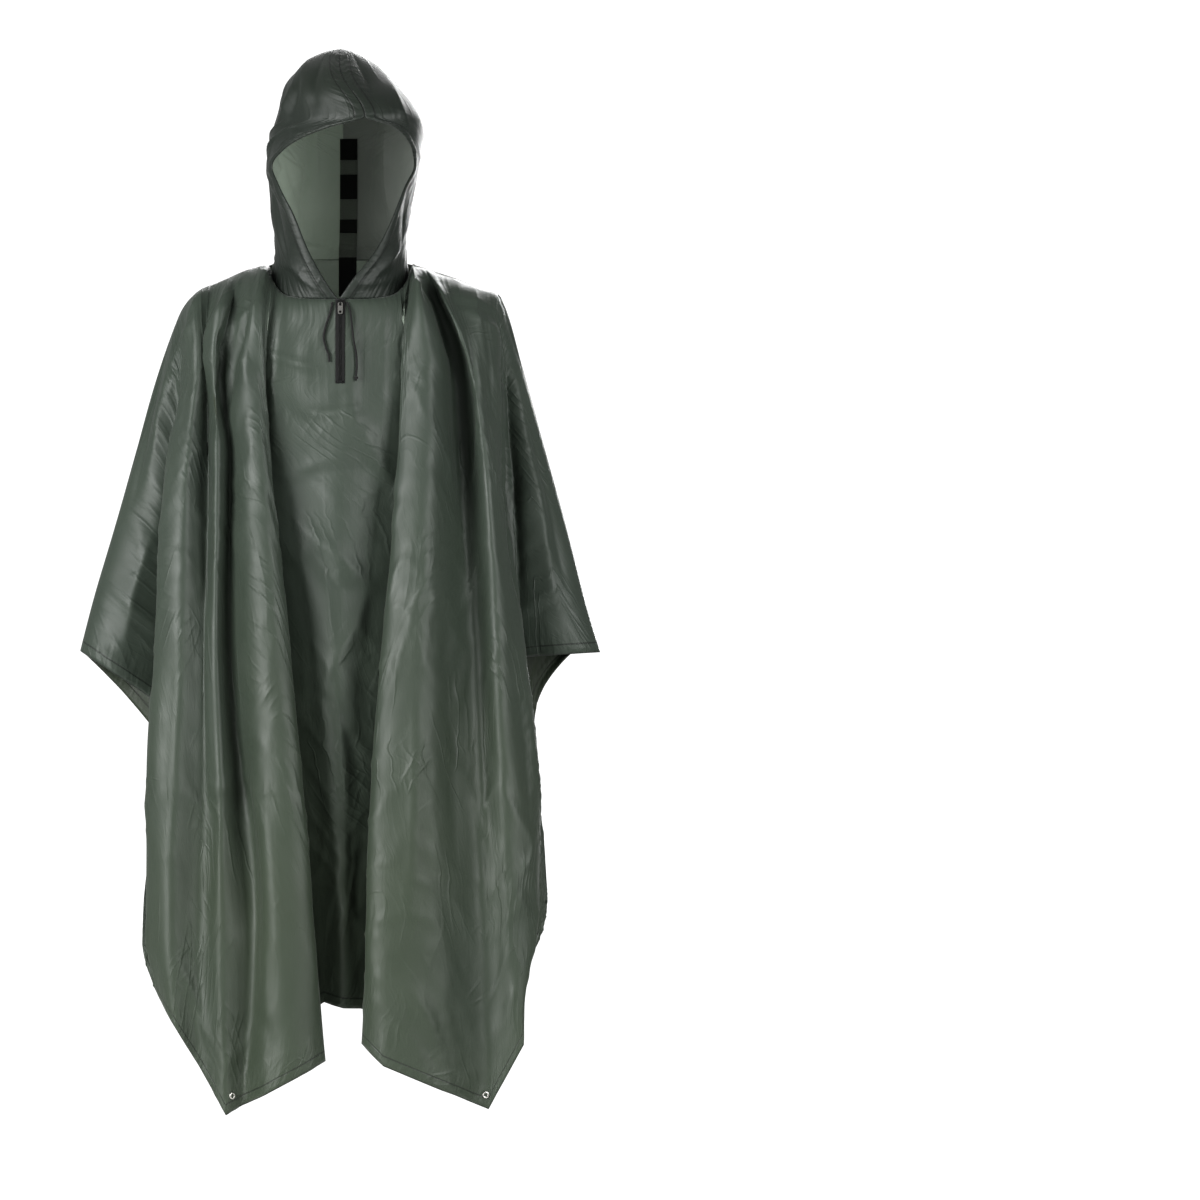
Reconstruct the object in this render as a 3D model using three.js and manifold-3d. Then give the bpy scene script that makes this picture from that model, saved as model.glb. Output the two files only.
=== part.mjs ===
import * as THREE from 'three';
import { mergeVertices } from 'three/addons/utils/BufferGeometryUtils.js';
import Module from 'manifold-3d';

// A hooded rain poncho, worn, as a hollow form. Millimetres, +Z up, the front faces -Y and the
// wearer's left is +X. The origin is the middle of the neck, level with the shoulder hold.

// cloth and seams
const clothWall = 1.6;
const seamGap = 0.3;
const layGap = 0.8;
const panelRows = 24;
const hoodColumns = 14;

// the neck seam, an oval ring that is low in front and high at the nape
const neck = { halfWidth: 97, front: -108, back: 66 };
const neckHeights = [[0, -16], [45, -12], [75, 12], [96, 32], [125, 42], [180, 46]];

// shoulder and arm ridge, from the neck to the sleeve tip: x outward, and z. It lies in one plane
// that leans forward downwards.
const ridgeRight = [[96, 34], [115, 32], [160, 15], [204, -7], [224, -29], [239, -73], [263, -147],
  [302, -287], [343, -427], [363, -505]];
const ridgeLeft = [[96, 36], [133, 25], [181, 8], [224, -15], [236, -37], [251, -99], [284, -217],
  [322, -357], [341, -434], [363, -507]];
const ridgePlane = { y: 4, lean: 0.055 };
const ridgeReach = 30;
const ridgeNormal = new THREE.Vector3(0, 1, -ridgePlane.lean).normalize();
const shoulderRound = 74;

// heights at which each fold is placed
const levels = [-112, -252, -462, -714, -900];

// Folds of the front panel from the wearer's right to the left. top is x on the shoulder, x and y
// are the places at the five levels, foot is x and z at the hem.
const frontFolds = [
  { name: 'right outer edge', top: -233, foot: [-250, -982],
    x: [-219, -240, -253, -267, -267], y: [-66, -88, -116, -126, -130] },
  { name: 'right outer lobe', top: -206, foot: [-225, -1022],
    x: [-199, -212, -219, -230, -234], y: [-96, -122, -152, -166, -168] },
  { name: 'right small valley', top: -172, foot: [-189, -1082],
    x: [-183, -180, -184, -184, -190], y: [-78, -98, -134, -148, -154] },
  { name: 'right middle ridge', top: -156, foot: [-153, -1145],
    x: [-171, -167, -168, -160, -160], y: [-108, -134, -154, -172, -178] },
  { name: 'right long valley', top: -140, foot: [-131, -1132],
    x: [-159, -150, -150, -133, -116], y: [-88, -106, -126, -146, -162] },
  { name: 'right inner lobe', top: -120, foot: [-97, -1115],
    x: [-138, -126, -117, -102, -94], y: [-118, -144, -174, -190, -198] },
  { name: 'right inner ridge', top: -101, foot: [-54, -1092],
    x: [-111, -101, -85, -65, -52], y: [-126, -152, -184, -198, -202] },
  { name: 'right inner edge', top: -93, foot: [-16, -1070],
    x: [-100, -90, -69, -46, -31], y: [-118, -138, -164, -176, -178] },
  { name: 'behind right edge', top: -87, foot: [-58, -1016],
    x: [-106, -112, -106, -92, -80], y: [-106, -108, -112, -114, -116] },
  { name: 'middle right', top: -66, foot: [-19, -991],
    x: [-80, -74, -56, -36, -22], y: [-114, -114, -122, -126, -128] },
  { name: 'middle', top: 0, foot: [8, -999],
    x: [0, 0, -2, 2, 8], y: [-122, -128, -136, -140, -142] },
  { name: 'middle left', top: 66, foot: [32, -1000],
    x: [66, 62, 46, 32, 28], y: [-112, -112, -120, -126, -128] },
  { name: 'behind left edge', top: 87, foot: [72, -1010],
    x: [98, 108, 104, 92, 86], y: [-104, -106, -110, -112, -114] },
  { name: 'left inner edge', top: 93, foot: [35, -1046],
    x: [88, 83, 65, 47, 41], y: [-116, -136, -160, -172, -176] },
  { name: 'left inner ridge', top: 100, foot: [66, -1076],
    x: [98, 95, 84, 68, 62], y: [-128, -154, -186, -200, -204] },
  { name: 'left inner lobe', top: 107, foot: [132, -1104],
    x: [132, 134, 132, 130, 132], y: [-132, -156, -184, -196, -200] },
  { name: 'left long valley', top: 116, foot: [209, -1138],
    x: [168, 174, 184, 195, 197], y: [-84, -100, -122, -142, -152] },
  { name: 'left middle ridge', top: 130, foot: [258, -1048],
    x: [184, 203, 219, 232, 240], y: [-110, -128, -148, -160, -166] },
  { name: 'left outer lobe', top: 194, foot: [256, -962],
    x: [212, 219, 241, 265, 272], y: [-98, -112, -128, -142, -148] },
  { name: 'left outer edge', top: 228, foot: [278, -905],
    x: [230, 231, 253, 280, 285], y: [-74, -80, -98, -112, -118] },
];

// Folds of the back panel from the wearer's right to the left, with the same columns.
const backFolds = [
  { name: 'right outer edge', top: -233, foot: [-256, -930],
    x: [-226, -248, -258, -263, -264], y: [60, 78, 98, 112, 118] },
  { name: 'right outer lobe', top: -214, foot: [-232, -1000],
    x: [-214, -230, -236, -240, -242], y: [86, 108, 130, 142, 148] },
  { name: 'right small valley', top: -192, foot: [-206, -1050],
    x: [-200, -211, -214, -217, -220], y: [62, 72, 84, 94, 102] },
  { name: 'right panel', top: -160, foot: [-181, -1132],
    x: [-178, -185, -184, -181, -181], y: [102, 132, 160, 178, 188] },
  { name: 'right panel ridge', top: -128, foot: [-146, -1124],
    x: [-155, -163, -160, -150, -146], y: [108, 136, 168, 188, 196] },
  { name: 'right panel edge', top: -112, foot: [-123, -1098],
    x: [-140, -149, -141, -130, -124], y: [96, 116, 142, 158, 164] },
  { name: 'behind right edge', top: -102, foot: [-166, -1012],
    x: [-148, -174, -182, -180, -176], y: [82, 88, 96, 102, 106] },
  { name: 'recess ridge', top: -80, foot: [-94, -1001],
    x: [-100, -105, -99, -97, -95], y: [100, 120, 140, 150, 154] },
  { name: 'recess', top: -40, foot: [-46, -988],
    x: [-50, -53, -53, -50, -46], y: [96, 112, 126, 134, 138] },
  { name: 'behind middle edge', top: 6, foot: [36, -976],
    x: [24, 44, 52, 50, 48], y: [92, 96, 100, 106, 110] },
  { name: 'middle edge', top: 12, foot: [-12, -988],
    x: [13, 8, -2, -10, -12], y: [106, 124, 142, 154, 160] },
  { name: 'middle ridge', top: 28, foot: [20, -996],
    x: [33, 30, 24, 20, 17], y: [112, 134, 158, 172, 178] },
  { name: 'left panel', top: 60, foot: [84, -1001],
    x: [82, 84, 84, 84, 84], y: [116, 138, 158, 172, 178] },
  { name: 'left panel side', top: 98, foot: [127, -1011],
    x: [128, 131, 132, 132, 130], y: [110, 134, 156, 168, 172] },
  { name: 'left panel ridge', top: 140, foot: [186, -1038],
    x: [166, 178, 186, 203, 216], y: [98, 126, 150, 160, 164] },
  { name: 'left panel edge', top: 170, foot: [232, -1062],
    x: [180, 193, 201, 217, 231], y: [82, 102, 124, 136, 140] },
  { name: 'left deep valley', top: 196, foot: [226, -990],
    x: [182, 190, 195, 208, 222], y: [60, 68, 78, 88, 96] },
  { name: 'left lobe inside', top: 212, foot: [226, -776],
    x: [196, 206, 214, 226, 226], y: [72, 84, 92, 98, 98] },
  { name: 'left lobe', top: 228, foot: [254, -738],
    x: [222, 240, 254, 262, 262], y: [74, 94, 106, 112, 112] },
];

// Sleeve lines run from the arm ridge down behind the nearest fold. top is x on the ridge, drop is
// the fall over which it gets there, behind is how far it then lies behind the fold, and foot is
// x and z at the hem.
const frontSleeveRight = [
  { top: -363, drop: 100, behind: 104, foot: [-272, -912] },
  { top: -343, drop: 105, behind: 88, foot: [-269, -932] },
  { top: -313, drop: 110, behind: 70, foot: [-264, -950] },
  { top: -266, drop: 105, behind: 46, foot: [-258, -967] },
];
const frontSleeveLeft = [
  { top: 263, drop: 100, behind: 38, foot: [283, -892] },
  { top: 313, drop: 90, behind: 58, foot: [285, -880] },
  { top: 343, drop: 60, behind: 76, foot: [287, -868] },
  { top: 363, drop: 9, behind: 90, foot: [288, -854] },
];
const backSleeveRight = [
  { top: -363, drop: 165, behind: 100, foot: [-262, -880] },
  { top: -343, drop: 150, behind: 88, foot: [-262, -892] },
  { top: -313, drop: 130, behind: 72, foot: [-261, -905] },
  { top: -266, drop: 110, behind: 52, foot: [-259, -918] },
];
const backSleeveLeft = [
  { top: 263, drop: 110, behind: 36, foot: [264, -712] },
  { top: 313, drop: 130, behind: 52, foot: [268, -690] },
  { top: 343, drop: 140, behind: 68, foot: [270, -672] },
  { top: 363, drop: 150, behind: 84, foot: [268, -655] },
];

// Creases that cross or sharpen the folds: from and to are x and z, width is the half width, and
// out is the height away from the body, negative for a trough.
const frontCreases = [
  { from: [-132, 8], to: [-186, -150], width: 15, out: 6 },
  { from: [-118, 20], to: [-150, -190], width: 12, out: -6 },
  { from: [-205, -25], to: [-232, -130], width: 13, out: -7 },
  { from: [-222, -60], to: [-262, -250], width: 18, out: 5 },
  { from: [118, 18], to: [182, -100], width: 13, out: 7 },
  { from: [197, -31], to: [222, -230], width: 13, out: -7 },
  { from: [224, -30], to: [236, -300], width: 15, out: -8 },
  { from: [240, -110], to: [300, -440], width: 22, out: 5 },
  { from: [-98, -92], to: [-26, -118], width: 13, out: 5 },
  { from: [10, -140], to: [88, -300], width: 18, out: 6 },
  { from: [-70, -270], to: [60, -250], width: 18, out: -4 },
  { from: [-50, -330], to: [50, -420], width: 20, out: 5 },
];
const backCreases = [
  { from: [-118, 22], to: [-214, -110], width: 15, out: 7 },
  { from: [-104, 10], to: [-160, -170], width: 14, out: -6 },
  { from: [-222, -60], to: [-268, -280], width: 18, out: 6 },
  { from: [112, 20], to: [176, -90], width: 15, out: 7 },
  { from: [128, 8], to: [150, -210], width: 14, out: -6 },
  { from: [224, -70], to: [262, -300], width: 20, out: 7 },
  { from: [250, -260], to: [290, -480], width: 18, out: -6 },
  { from: [50, 20], to: [60, -120], width: 16, out: 4 },
];

// Sections of the hood from the neck up: z, half widths to the wearer's right and left, y of the
// front and back, and how far the face opening reaches to the right and left (0 where it is shut).
const hoodSections = [
  { z: 0, right: 95.5, left: 95.5, front: -107.5, back: 66, openRight: 0, openLeft: 0 },
  { z: 22, right: 93, left: 92, front: -112, back: 78, openRight: 18, openLeft: 18 },
  { z: 60, right: 94, left: 92, front: -118, back: 96, openRight: 42, openLeft: 52 },
  { z: 99, right: 99, left: 97, front: -126, back: 108, openRight: 60, openLeft: 74 },
  { z: 141, right: 102, left: 102, front: -134, back: 116, openRight: 83, openLeft: 91 },
  { z: 170, right: 104, left: 106, front: -140, back: 119, openRight: 96, openLeft: 101 },
  { z: 190, right: 104, left: 107, front: -145, back: 119, openRight: 86, openLeft: 94 },
  { z: 206, right: 104, left: 107, front: -149, back: 118, openRight: 70, openLeft: 76 },
  { z: 221, right: 102, left: 104, front: -152, back: 116, openRight: 40, openLeft: 46 },
  { z: 235, right: 98, left: 100, front: -152, back: 113, openRight: 0, openLeft: 0 },
  { z: 262, right: 90, left: 88, front: -142, back: 104, openRight: 0, openLeft: 0 },
  { z: 290, right: 73, left: 70, front: -120, back: 88, openRight: 0, openLeft: 0 },
  { z: 312, right: 54, left: 51, front: -96, back: 70, openRight: 0, openLeft: 0 },
  { z: 327, right: 33, left: 31, front: -70, back: 52, openRight: 0, openLeft: 0 },
  { z: 335, right: 14, left: 13, front: -54, back: 42, openRight: 0, openLeft: 0 },
  { z: 337, right: 0, left: 0, front: -46, back: 38, openRight: 0, openLeft: 0 },
];
const crownBow = 9;
const peak = { lean: 38, height: 235, spread: 45 };
const neckBlend = 110;
const neckRise = 1.5;

// zip, its slider and its hinged pull
const zip = { x: 3, top: -17, bottom: -134, tapeWidth: 13, tapeWall: 1.2, steps: 13 };
const slider = { width: 7.4, length: 10, height: 3, z: -24, corner: 1.8 };
const bridge = { width: 1.6, half: 3, opening: 2.4, wall: 1 };
const pull = { width: 7, length: 17, wall: 1.4, bar: 1.2, eyeWidth: 3.2, eyeEnd: 4.5, hole: 1.9,
  corner: 3 };
const stop = { width: 8.6, height: 3.2, depth: 2.2 };

// drawcord ends: x and z of the route, and the room between the cord and the front panel
const cord = { diameter: 3, steps: 16, sides: 8, knot: 3.1 };
const cordRight = [[-8, -21, 0.25], [-10, -32, 0.6], [-14, -45, 1], [-18, -58, 1.2], [-20, -70, 1.2],
  [-17, -84, 1.2], [-13, -95, 1.2], [-12, -104, 1.2]];
const cordLeft = [[12, -21, 0.25], [16, -31, 0.8], [18, -42, 1.6], [20, -60, 1.8], [22, -76, 1.6],
  [25, -92, 1.6], [26, -108, 1.8], [25, -124, 2.2]];

// hook and loop tape down the inside of the hood
const tape = { x: 8, width: 25, wall: 1.2, top: 218, bottom: -7, steps: 18, fall: 62, hang: 4 };
const loopSteps = [[0, 2], [4, 7], [9, 11], [14, 18]];

// corner eyelets: x and z of their middles
const eyelet = { hole: 2.4, barrel: 3.2, flange: 5.2, flangeWall: 0.7, sides: 12 };
const frontEyelets = [[-145, -1118], [205, -1118]];
const backEyelets = [[-177, -1114], [221, -1044]];

// colours
const clothColour = 0x47524a;
const blackColour = 0x1b1c1b;
const metalColour = 0xb9bab6;

const wasm = await Module();
wasm.setup();

// A smooth curve through knots of [position, value] that does not overshoot them.
function follow(knots, at) {
  const last = knots.length - 1;
  if (at <= knots[0][0]) return knots[0][1];
  if (at >= knots[last][0]) return knots[last][1];
  let i = 0;
  while (at > knots[i + 1][0]) i += 1;
  const chord = (k) => (knots[k + 1][1] - knots[k][1]) / (knots[k + 1][0] - knots[k][0]);
  const slope = (k) => {
    if (k === 0) return chord(0);
    if (k === last) return chord(last - 1);
    const [a, b] = [chord(k - 1), chord(k)];
    return a * b <= 0 ? 0 : (2 * a * b) / (a + b);
  };
  const span = knots[i + 1][0] - knots[i][0];
  const u = (at - knots[i][0]) / span;
  const v = 1 - u;
  return knots[i][1] * v * v * (1 + 2 * u) + knots[i + 1][1] * u * u * (1 + 2 * v)
    + span * u * v * (slope(i) * v - slope(i + 1) * u);
}

// The neck seam at an angle from the front, towards the wearer's left where it is positive.
function neckPoint(angle) {
  const middle = (neck.front + neck.back) / 2;
  const reach = (neck.back - neck.front) / 2;
  const turn = THREE.MathUtils.degToRad(angle);
  return new THREE.Vector3(neck.halfWidth * Math.sin(turn), middle - reach * Math.cos(turn),
    follow(neckHeights, Math.abs(angle)));
}

// The top edge of a panel at x: the neck seam in the middle, the shoulder and arm ridge outside it.
function topEdge(x, side) {
  const ridge = x < 0 ? ridgeRight : ridgeLeft;
  const outward = Math.abs(x);
  if (outward >= ridge[0][0]) {
    const z = follow(ridge, outward);
    return new THREE.Vector3(x, ridgePlane.y + ridgePlane.lean * z + side * seamGap / 2, z);
  }
  const lean = THREE.MathUtils.radToDeg(Math.asin(x / neck.halfWidth));
  return neckPoint(side < 0 ? lean : Math.sign(x || 1) * 180 - lean);
}

// How far a point of the front view lies below the top edge, and the depth of that edge.
function nearestTop(edge, x, z) {
  let best = { distance: Infinity, y: 0 };
  for (let i = 0; i + 1 < edge.length; i += 1) {
    const [a, b] = [edge[i], edge[i + 1]];
    const [dx, dz] = [b.x - a.x, b.z - a.z];
    const along = ((x - a.x) * dx + (z - a.z) * dz) / (dx * dx + dz * dz);
    const u = THREE.MathUtils.clamp(along, 0, 1);
    const distance = Math.hypot(x - a.x - dx * u, z - a.z - dz * u);
    if (distance < best.distance) best = { distance, y: a.y + (b.y - a.y) * u };
  }
  return best;
}

// Evenly spaced points along a list of points.
function spaced(points, count) {
  const runs = [0];
  for (let i = 1; i < points.length; i += 1) {
    runs.push(runs[i - 1] + points[i].distanceTo(points[i - 1]));
  }
  const even = [];
  let k = 0;
  for (let i = 0; i <= count; i += 1) {
    const run = runs[runs.length - 1] * i / count;
    while (k < points.length - 2 && runs[k + 1] < run) k += 1;
    even.push(points[k].clone().lerp(points[k + 1], (run - runs[k]) / (runs[k + 1] - runs[k])));
  }
  return even;
}

// The place of a fold at height z before the shoulder is rounded: x, and y away from the middle.
function foldPlace(fold, zTop, z) {
  const inside = levels.map((level, i) => [-level, fold.x[i]])
    .filter(([depth]) => depth > 30 - zTop && depth < -fold.foot[1] - 30);
  const knots = [[-zTop, fold.top], ...inside, [-fold.foot[1], fold.foot[0]]];
  return { x: follow(knots, -z), y: follow(levels.map((level, i) => [-level, fold.y[i]]), -z) };
}

// One line of the panel from its top edge to the hem, as evenly spaced points.
function panelLine(line, near, edge, side, rows) {
  const start = topEdge(line.top, side);
  const [footX, footZ] = line.foot;
  const samples = 150;
  const points = [];
  for (let i = 0; i <= samples; i += 1) {
    const z = start.z + (footZ - start.z) * (i / samples) ** 2;
    let place;
    if (line.x) {
      place = foldPlace(line, start.z, z);
    } else {
      const fold = foldPlace(near, topEdge(near.top, side).z, Math.max(z, near.foot[1]));
      const fallen = THREE.MathUtils.clamp((start.z - z) / line.drop, 0, 1);
      const lift = THREE.MathUtils.smoothstep(-z, -footZ - 260, -footZ);
      const away = line.behind * (0.45 + 0.55 * fallen ** 2) * (1 - 0.75 * lift);
      const tucked = fold.x - Math.sign(fold.x) * (14 + 0.25 * away) * (1 - lift);
      const leave = (1 - fallen) ** 1.25;
      place = { x: tucked + (line.top - tucked) * leave, y: fold.y - side * away };
      place.x += (footX - place.x) * lift;
    }
    const top = nearestTop(edge, place.x, z);
    const q = Math.min(top.distance / shoulderRound, 1);
    const round = Math.sqrt(1 - (1 - q) ** 2);
    points.push(new THREE.Vector3(place.x, top.y + (place.y - top.y) * round, z));
  }
  points[0].copy(start);
  return spaced(points, rows);
}

// The middle surface of a panel as columns of points, with the creases pushed in.
function panelGrid(parts, side, creases, rows, steps) {
  const edge = [];
  for (let x = -363; x <= 363; x += 6) edge.push(topEdge(x, side));
  const { right, folds, left } = parts;
  const lines = [
    ...right.map((line) => panelLine(line, folds[0], edge, side, rows)),
    ...folds.map((line) => panelLine(line, null, edge, side, rows)),
    ...left.map((line) => panelLine(line, folds[folds.length - 1], edge, side, rows)),
  ];
  const grid = [];
  for (let i = 0; i + 1 < lines.length; i += 1) {
    const around = [i - 1, i, i + 1, i + 2].map((k) => lines[THREE.MathUtils.clamp(k, 0, lines.length - 1)]);
    const count = i + 2 === lines.length ? steps + 1 : steps;
    for (let k = 0; k < count; k += 1) {
      grid.push(lines[i].map((_, r) => blend(around.map((line) => line[r]), k / steps)));
    }
  }
  grid.forEach((column) => column.forEach((point, r) => {
    if (r > 0) creases.forEach((crease) => press(point, crease, side));
    const clear = seamGap / 2 + (r > 0 ? clothWall : 0);
    const reach = side * (point.y - ridgePlane.y - ridgePlane.lean * point.z);
    point.y += side * Math.max(0, clear - reach);
  }));
  return grid;
}

// The smooth curve between the middle two of four points.
function blend([a, b, c, d], u) {
  const mix = (k) => 0.5 * (2 * b[k] + (c[k] - a[k]) * u
    + (2 * a[k] - 5 * b[k] + 4 * c[k] - d[k]) * u * u
    + (3 * b[k] - a[k] - 3 * c[k] + d[k]) * u * u * u);
  return new THREE.Vector3(mix('x'), mix('y'), mix('z'));
}

// Moves a point in or out by a crease: full along its line, soft at both sides and both ends.
function press(point, crease, side) {
  const [dx, dz] = [crease.to[0] - crease.from[0], crease.to[1] - crease.from[1]];
  const length = Math.hypot(dx, dz);
  const along = ((point.x - crease.from[0]) * dx + (point.z - crease.from[1]) * dz) / length;
  const across = ((point.x - crease.from[0]) * dz - (point.z - crease.from[1]) * dx) / length;
  const ends = Math.sin(Math.PI * THREE.MathUtils.clamp(along / length, 0, 1));
  const profile = Math.exp(-((across / crease.width) ** 2) * 2);
  point.y += side * crease.out * profile * Math.sqrt(ends);
}

// Unit normals of a grid of points. On the shoulder ridge and the hood seam they lie in its plane.
function gridNormals(grid) {
  return grid.map((column, i) => column.map((_, r) => {
    const across = grid[Math.min(i + 1, grid.length - 1)][r].clone().sub(grid[Math.max(i - 1, 0)][r]);
    const down = column[Math.min(r + 1, column.length - 1)].clone().sub(column[Math.max(r - 1, 0)]);
    const normal = across.cross(down);
    if (column[r].onSeam) normal.setX(0);
    else if (r === 0 && Math.abs(column[0].y) < ridgeReach) normal.projectOnPlane(ridgeNormal);
    return normal.normalize();
  }));
}

// A closed sheet of even thickness whose middle surface is the grid.
function sheet(grid, wall, lift = 0) {
  const normals = gridNormals(grid);
  const [columns, rows] = [grid.length, grid[0].length];
  const positions = [];
  for (const offset of [lift + wall / 2, lift - wall / 2]) {
    grid.forEach((column, i) => column.forEach((point, r) => {
      positions.push(...point.clone().addScaledVector(normals[i][r], offset).toArray());
    }));
  }
  const at = (face, i, r) => face * columns * rows + i * rows + r;
  const index = [];
  const quad = (a, b, c, d) => index.push(a, b, c, a, c, d);
  for (let i = 0; i + 1 < columns; i += 1) {
    for (let r = 0; r + 1 < rows; r += 1) {
      quad(at(0, i, r), at(0, i + 1, r), at(0, i + 1, r + 1), at(0, i, r + 1));
      quad(at(1, i, r), at(1, i, r + 1), at(1, i + 1, r + 1), at(1, i + 1, r));
    }
    quad(at(0, i, 0), at(1, i, 0), at(1, i + 1, 0), at(0, i + 1, 0));
    quad(at(0, i, rows - 1), at(0, i + 1, rows - 1), at(1, i + 1, rows - 1), at(1, i, rows - 1));
  }
  for (let r = 0; r + 1 < rows; r += 1) {
    quad(at(0, 0, r), at(0, 0, r + 1), at(1, 0, r + 1), at(1, 0, r));
    const end = columns - 1;
    quad(at(0, end, r), at(1, end, r), at(1, end, r + 1), at(0, end, r + 1));
  }
  const geometry = new THREE.BufferGeometry();
  geometry.setAttribute('position', new THREE.Float32BufferAttribute(positions, 3));
  geometry.setIndex(index);
  return geometry;
}

// One half of the hood, a column of points for each step round from the face to the nape.
function hoodGrid(side) {
  const hand = side < 0 ? 'Right' : 'Left';
  const columns = [];
  for (let c = 0; c <= hoodColumns; c += 1) {
    columns.push(hoodSections.map((section) => {
      const width = section[hand.toLowerCase()];
      const open = section[`open${hand}`];
      const first = open > 0 ? Math.asin(Math.min(open / width, 1)) : 0;
      const turn = first + (Math.PI - first) * c / hoodColumns;
      const middle = (section.front + section.back) / 2;
      const reach = (section.back - section.front) / 2;
      const x = side * Math.max(width * Math.sin(turn), seamGap / 2);
      const y = middle - reach * Math.cos(turn);
      const start = follow(neckHeights, THREE.MathUtils.radToDeg(turn)) + neckRise;
      const bow = crownBow * THREE.MathUtils.smoothstep(section.z, 262, 337) * Math.cos(turn) ** 2;
      const z = section.z + start * Math.max(0, 1 - section.z / neckBlend) - bow;
      const lean = Math.exp(-(((section.z - peak.height) / peak.spread) ** 2)) * Math.cos(turn / 2) ** 4;
      const point = new THREE.Vector3(x + peak.lean * lean, y, z);
      point.onSeam = Math.abs(x) <= seamGap / 2;
      return point;
    }));
  }
  return side < 0 ? columns.reverse() : columns;
}

// The outermost point of a grid at x and z, seen from the front (side -1) or the back (side 1),
// with the way out of the cloth there.
function onCloth(grid, x, z, side) {
  const far = 900;
  const ray = new THREE.Ray(new THREE.Vector3(x, far * side, z), new THREE.Vector3(0, -side, 0));
  let best = null;
  for (let i = 0; i + 1 < grid.length; i += 1) {
    for (let r = 0; r + 1 < grid[i].length; r += 1) {
      const corners = [grid[i][r], grid[i + 1][r], grid[i + 1][r + 1], grid[i][r + 1]];
      for (const [a, b, c] of [[0, 1, 2], [0, 2, 3]].map((picks) => picks.map((k) => corners[k]))) {
        const hit = ray.intersectTriangle(a, b, c, false, new THREE.Vector3());
        if (hit && (!best || side * (hit.y - best.point.y) > 0)) {
          const normal = new THREE.Triangle(a, b, c).getNormal(new THREE.Vector3());
          best = { point: hit, normal: normal.multiplyScalar(Math.sign(normal.y * side)) };
        }
      }
    }
  }
  return best;
}

// A place on the cloth with the way out of it averaged over the reach of an eyelet.
function eyeletSeat(grid, x, z, side) {
  const at = (dx, dz) => onCloth(grid, x + dx * eyelet.flange, z + dz * eyelet.flange, side).point;
  const normal = at(1, 0).sub(at(-1, 0)).cross(at(0, 1).sub(at(0, -1))).normalize();
  return seat(at(0, 0), normal.multiplyScalar(Math.sign(normal.y * side)));
}

// A strip of tape laid on the front panel, in columns from left to right.
function tapeGrid(grid, middle, width, top, bottom, steps, lift) {
  return [width / 2, 0, -width / 2].map((offset) => {
    const column = [];
    for (let i = 0; i <= steps; i += 1) {
      const { point, normal } = onCloth(grid, middle + offset, top + (bottom - top) * i / steps, -1);
      column.push(point.addScaledVector(normal, lift));
    }
    return column;
  });
}

// A strip inside the back of the hood. Below the nape it hangs straight down.
function hoodTapeGrid(halves, top, bottom, lift, steps) {
  return [-tape.width / 2, 0, tape.width / 2].map((offset) => {
    const column = [];
    const x = tape.x + offset;
    for (let i = 0; i <= steps; i += 1) {
      const z = top + (bottom - top) * i / steps;
      const { point, normal } = onCloth(x < 0 ? halves.right : halves.left, x, Math.max(z, tape.fall), 1);
      point.addScaledVector(normal, -lift);
      column.push(z > tape.fall ? point : new THREE.Vector3(x, neck.back - tape.hang - lift, z));
    }
    return column;
  });
}

// A mesh geometry as a solid for cutting and joining, and back.
function solid(geometry) {
  const bare = geometry.clone();
  bare.deleteAttribute('normal');
  bare.deleteAttribute('uv');
  const merged = mergeVertices(bare, 1e-4);
  return new wasm.Manifold(new wasm.Mesh({
    numProp: 3,
    vertProperties: new Float32Array(merged.getAttribute('position').array),
    triVerts: new Uint32Array(merged.getIndex().array),
  }));
}

function fromSolid(manifold) {
  const mesh = manifold.getMesh();
  const geometry = new THREE.BufferGeometry();
  geometry.setAttribute('position', new THREE.BufferAttribute(mesh.vertProperties, 3));
  geometry.setIndex(new THREE.BufferAttribute(mesh.triVerts, 1));
  return geometry;
}

// A frame that stands on the cloth: its Z points out of the cloth and its X lies across.
function seat(point, normal) {
  const across = new THREE.Vector3(1, 0, 0);
  across.addScaledVector(normal, -across.dot(normal)).normalize();
  const up = normal.clone().cross(across);
  return new THREE.Matrix4().makeBasis(across, up, normal).setPosition(point);
}

// A cloth panel with a round hole for each eyelet.
function holedPanel(grid, places, side) {
  let panel = solid(sheet(grid, clothWall));
  for (const [x, z] of places) {
    const radius = eyelet.barrel + seamGap;
    const drill = new THREE.CylinderGeometry(radius, radius, 12, eyelet.sides);
    drill.rotateX(Math.PI / 2).applyMatrix4(eyeletSeat(grid, x, z, side));
    panel = panel.subtract(solid(drill));
  }
  return fromSolid(panel);
}

// A rolled eyelet: a barrel through the cloth with a flat ring on each face.
function eyeletGeometry() {
  const inner = clothWall / 2 + layGap;
  const outer = inner + eyelet.flangeWall;
  const profile = [[eyelet.hole, -outer], [eyelet.flange, -outer], [eyelet.flange, -inner],
    [eyelet.barrel, -inner], [eyelet.barrel, inner], [eyelet.flange, inner], [eyelet.flange, outer],
    [eyelet.hole, outer], [eyelet.hole, -outer]];
  const points = profile.map(([radius, height]) => new THREE.Vector2(radius, height));
  return new THREE.LatheGeometry(points, eyelet.sides).rotateX(Math.PI / 2);
}

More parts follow.
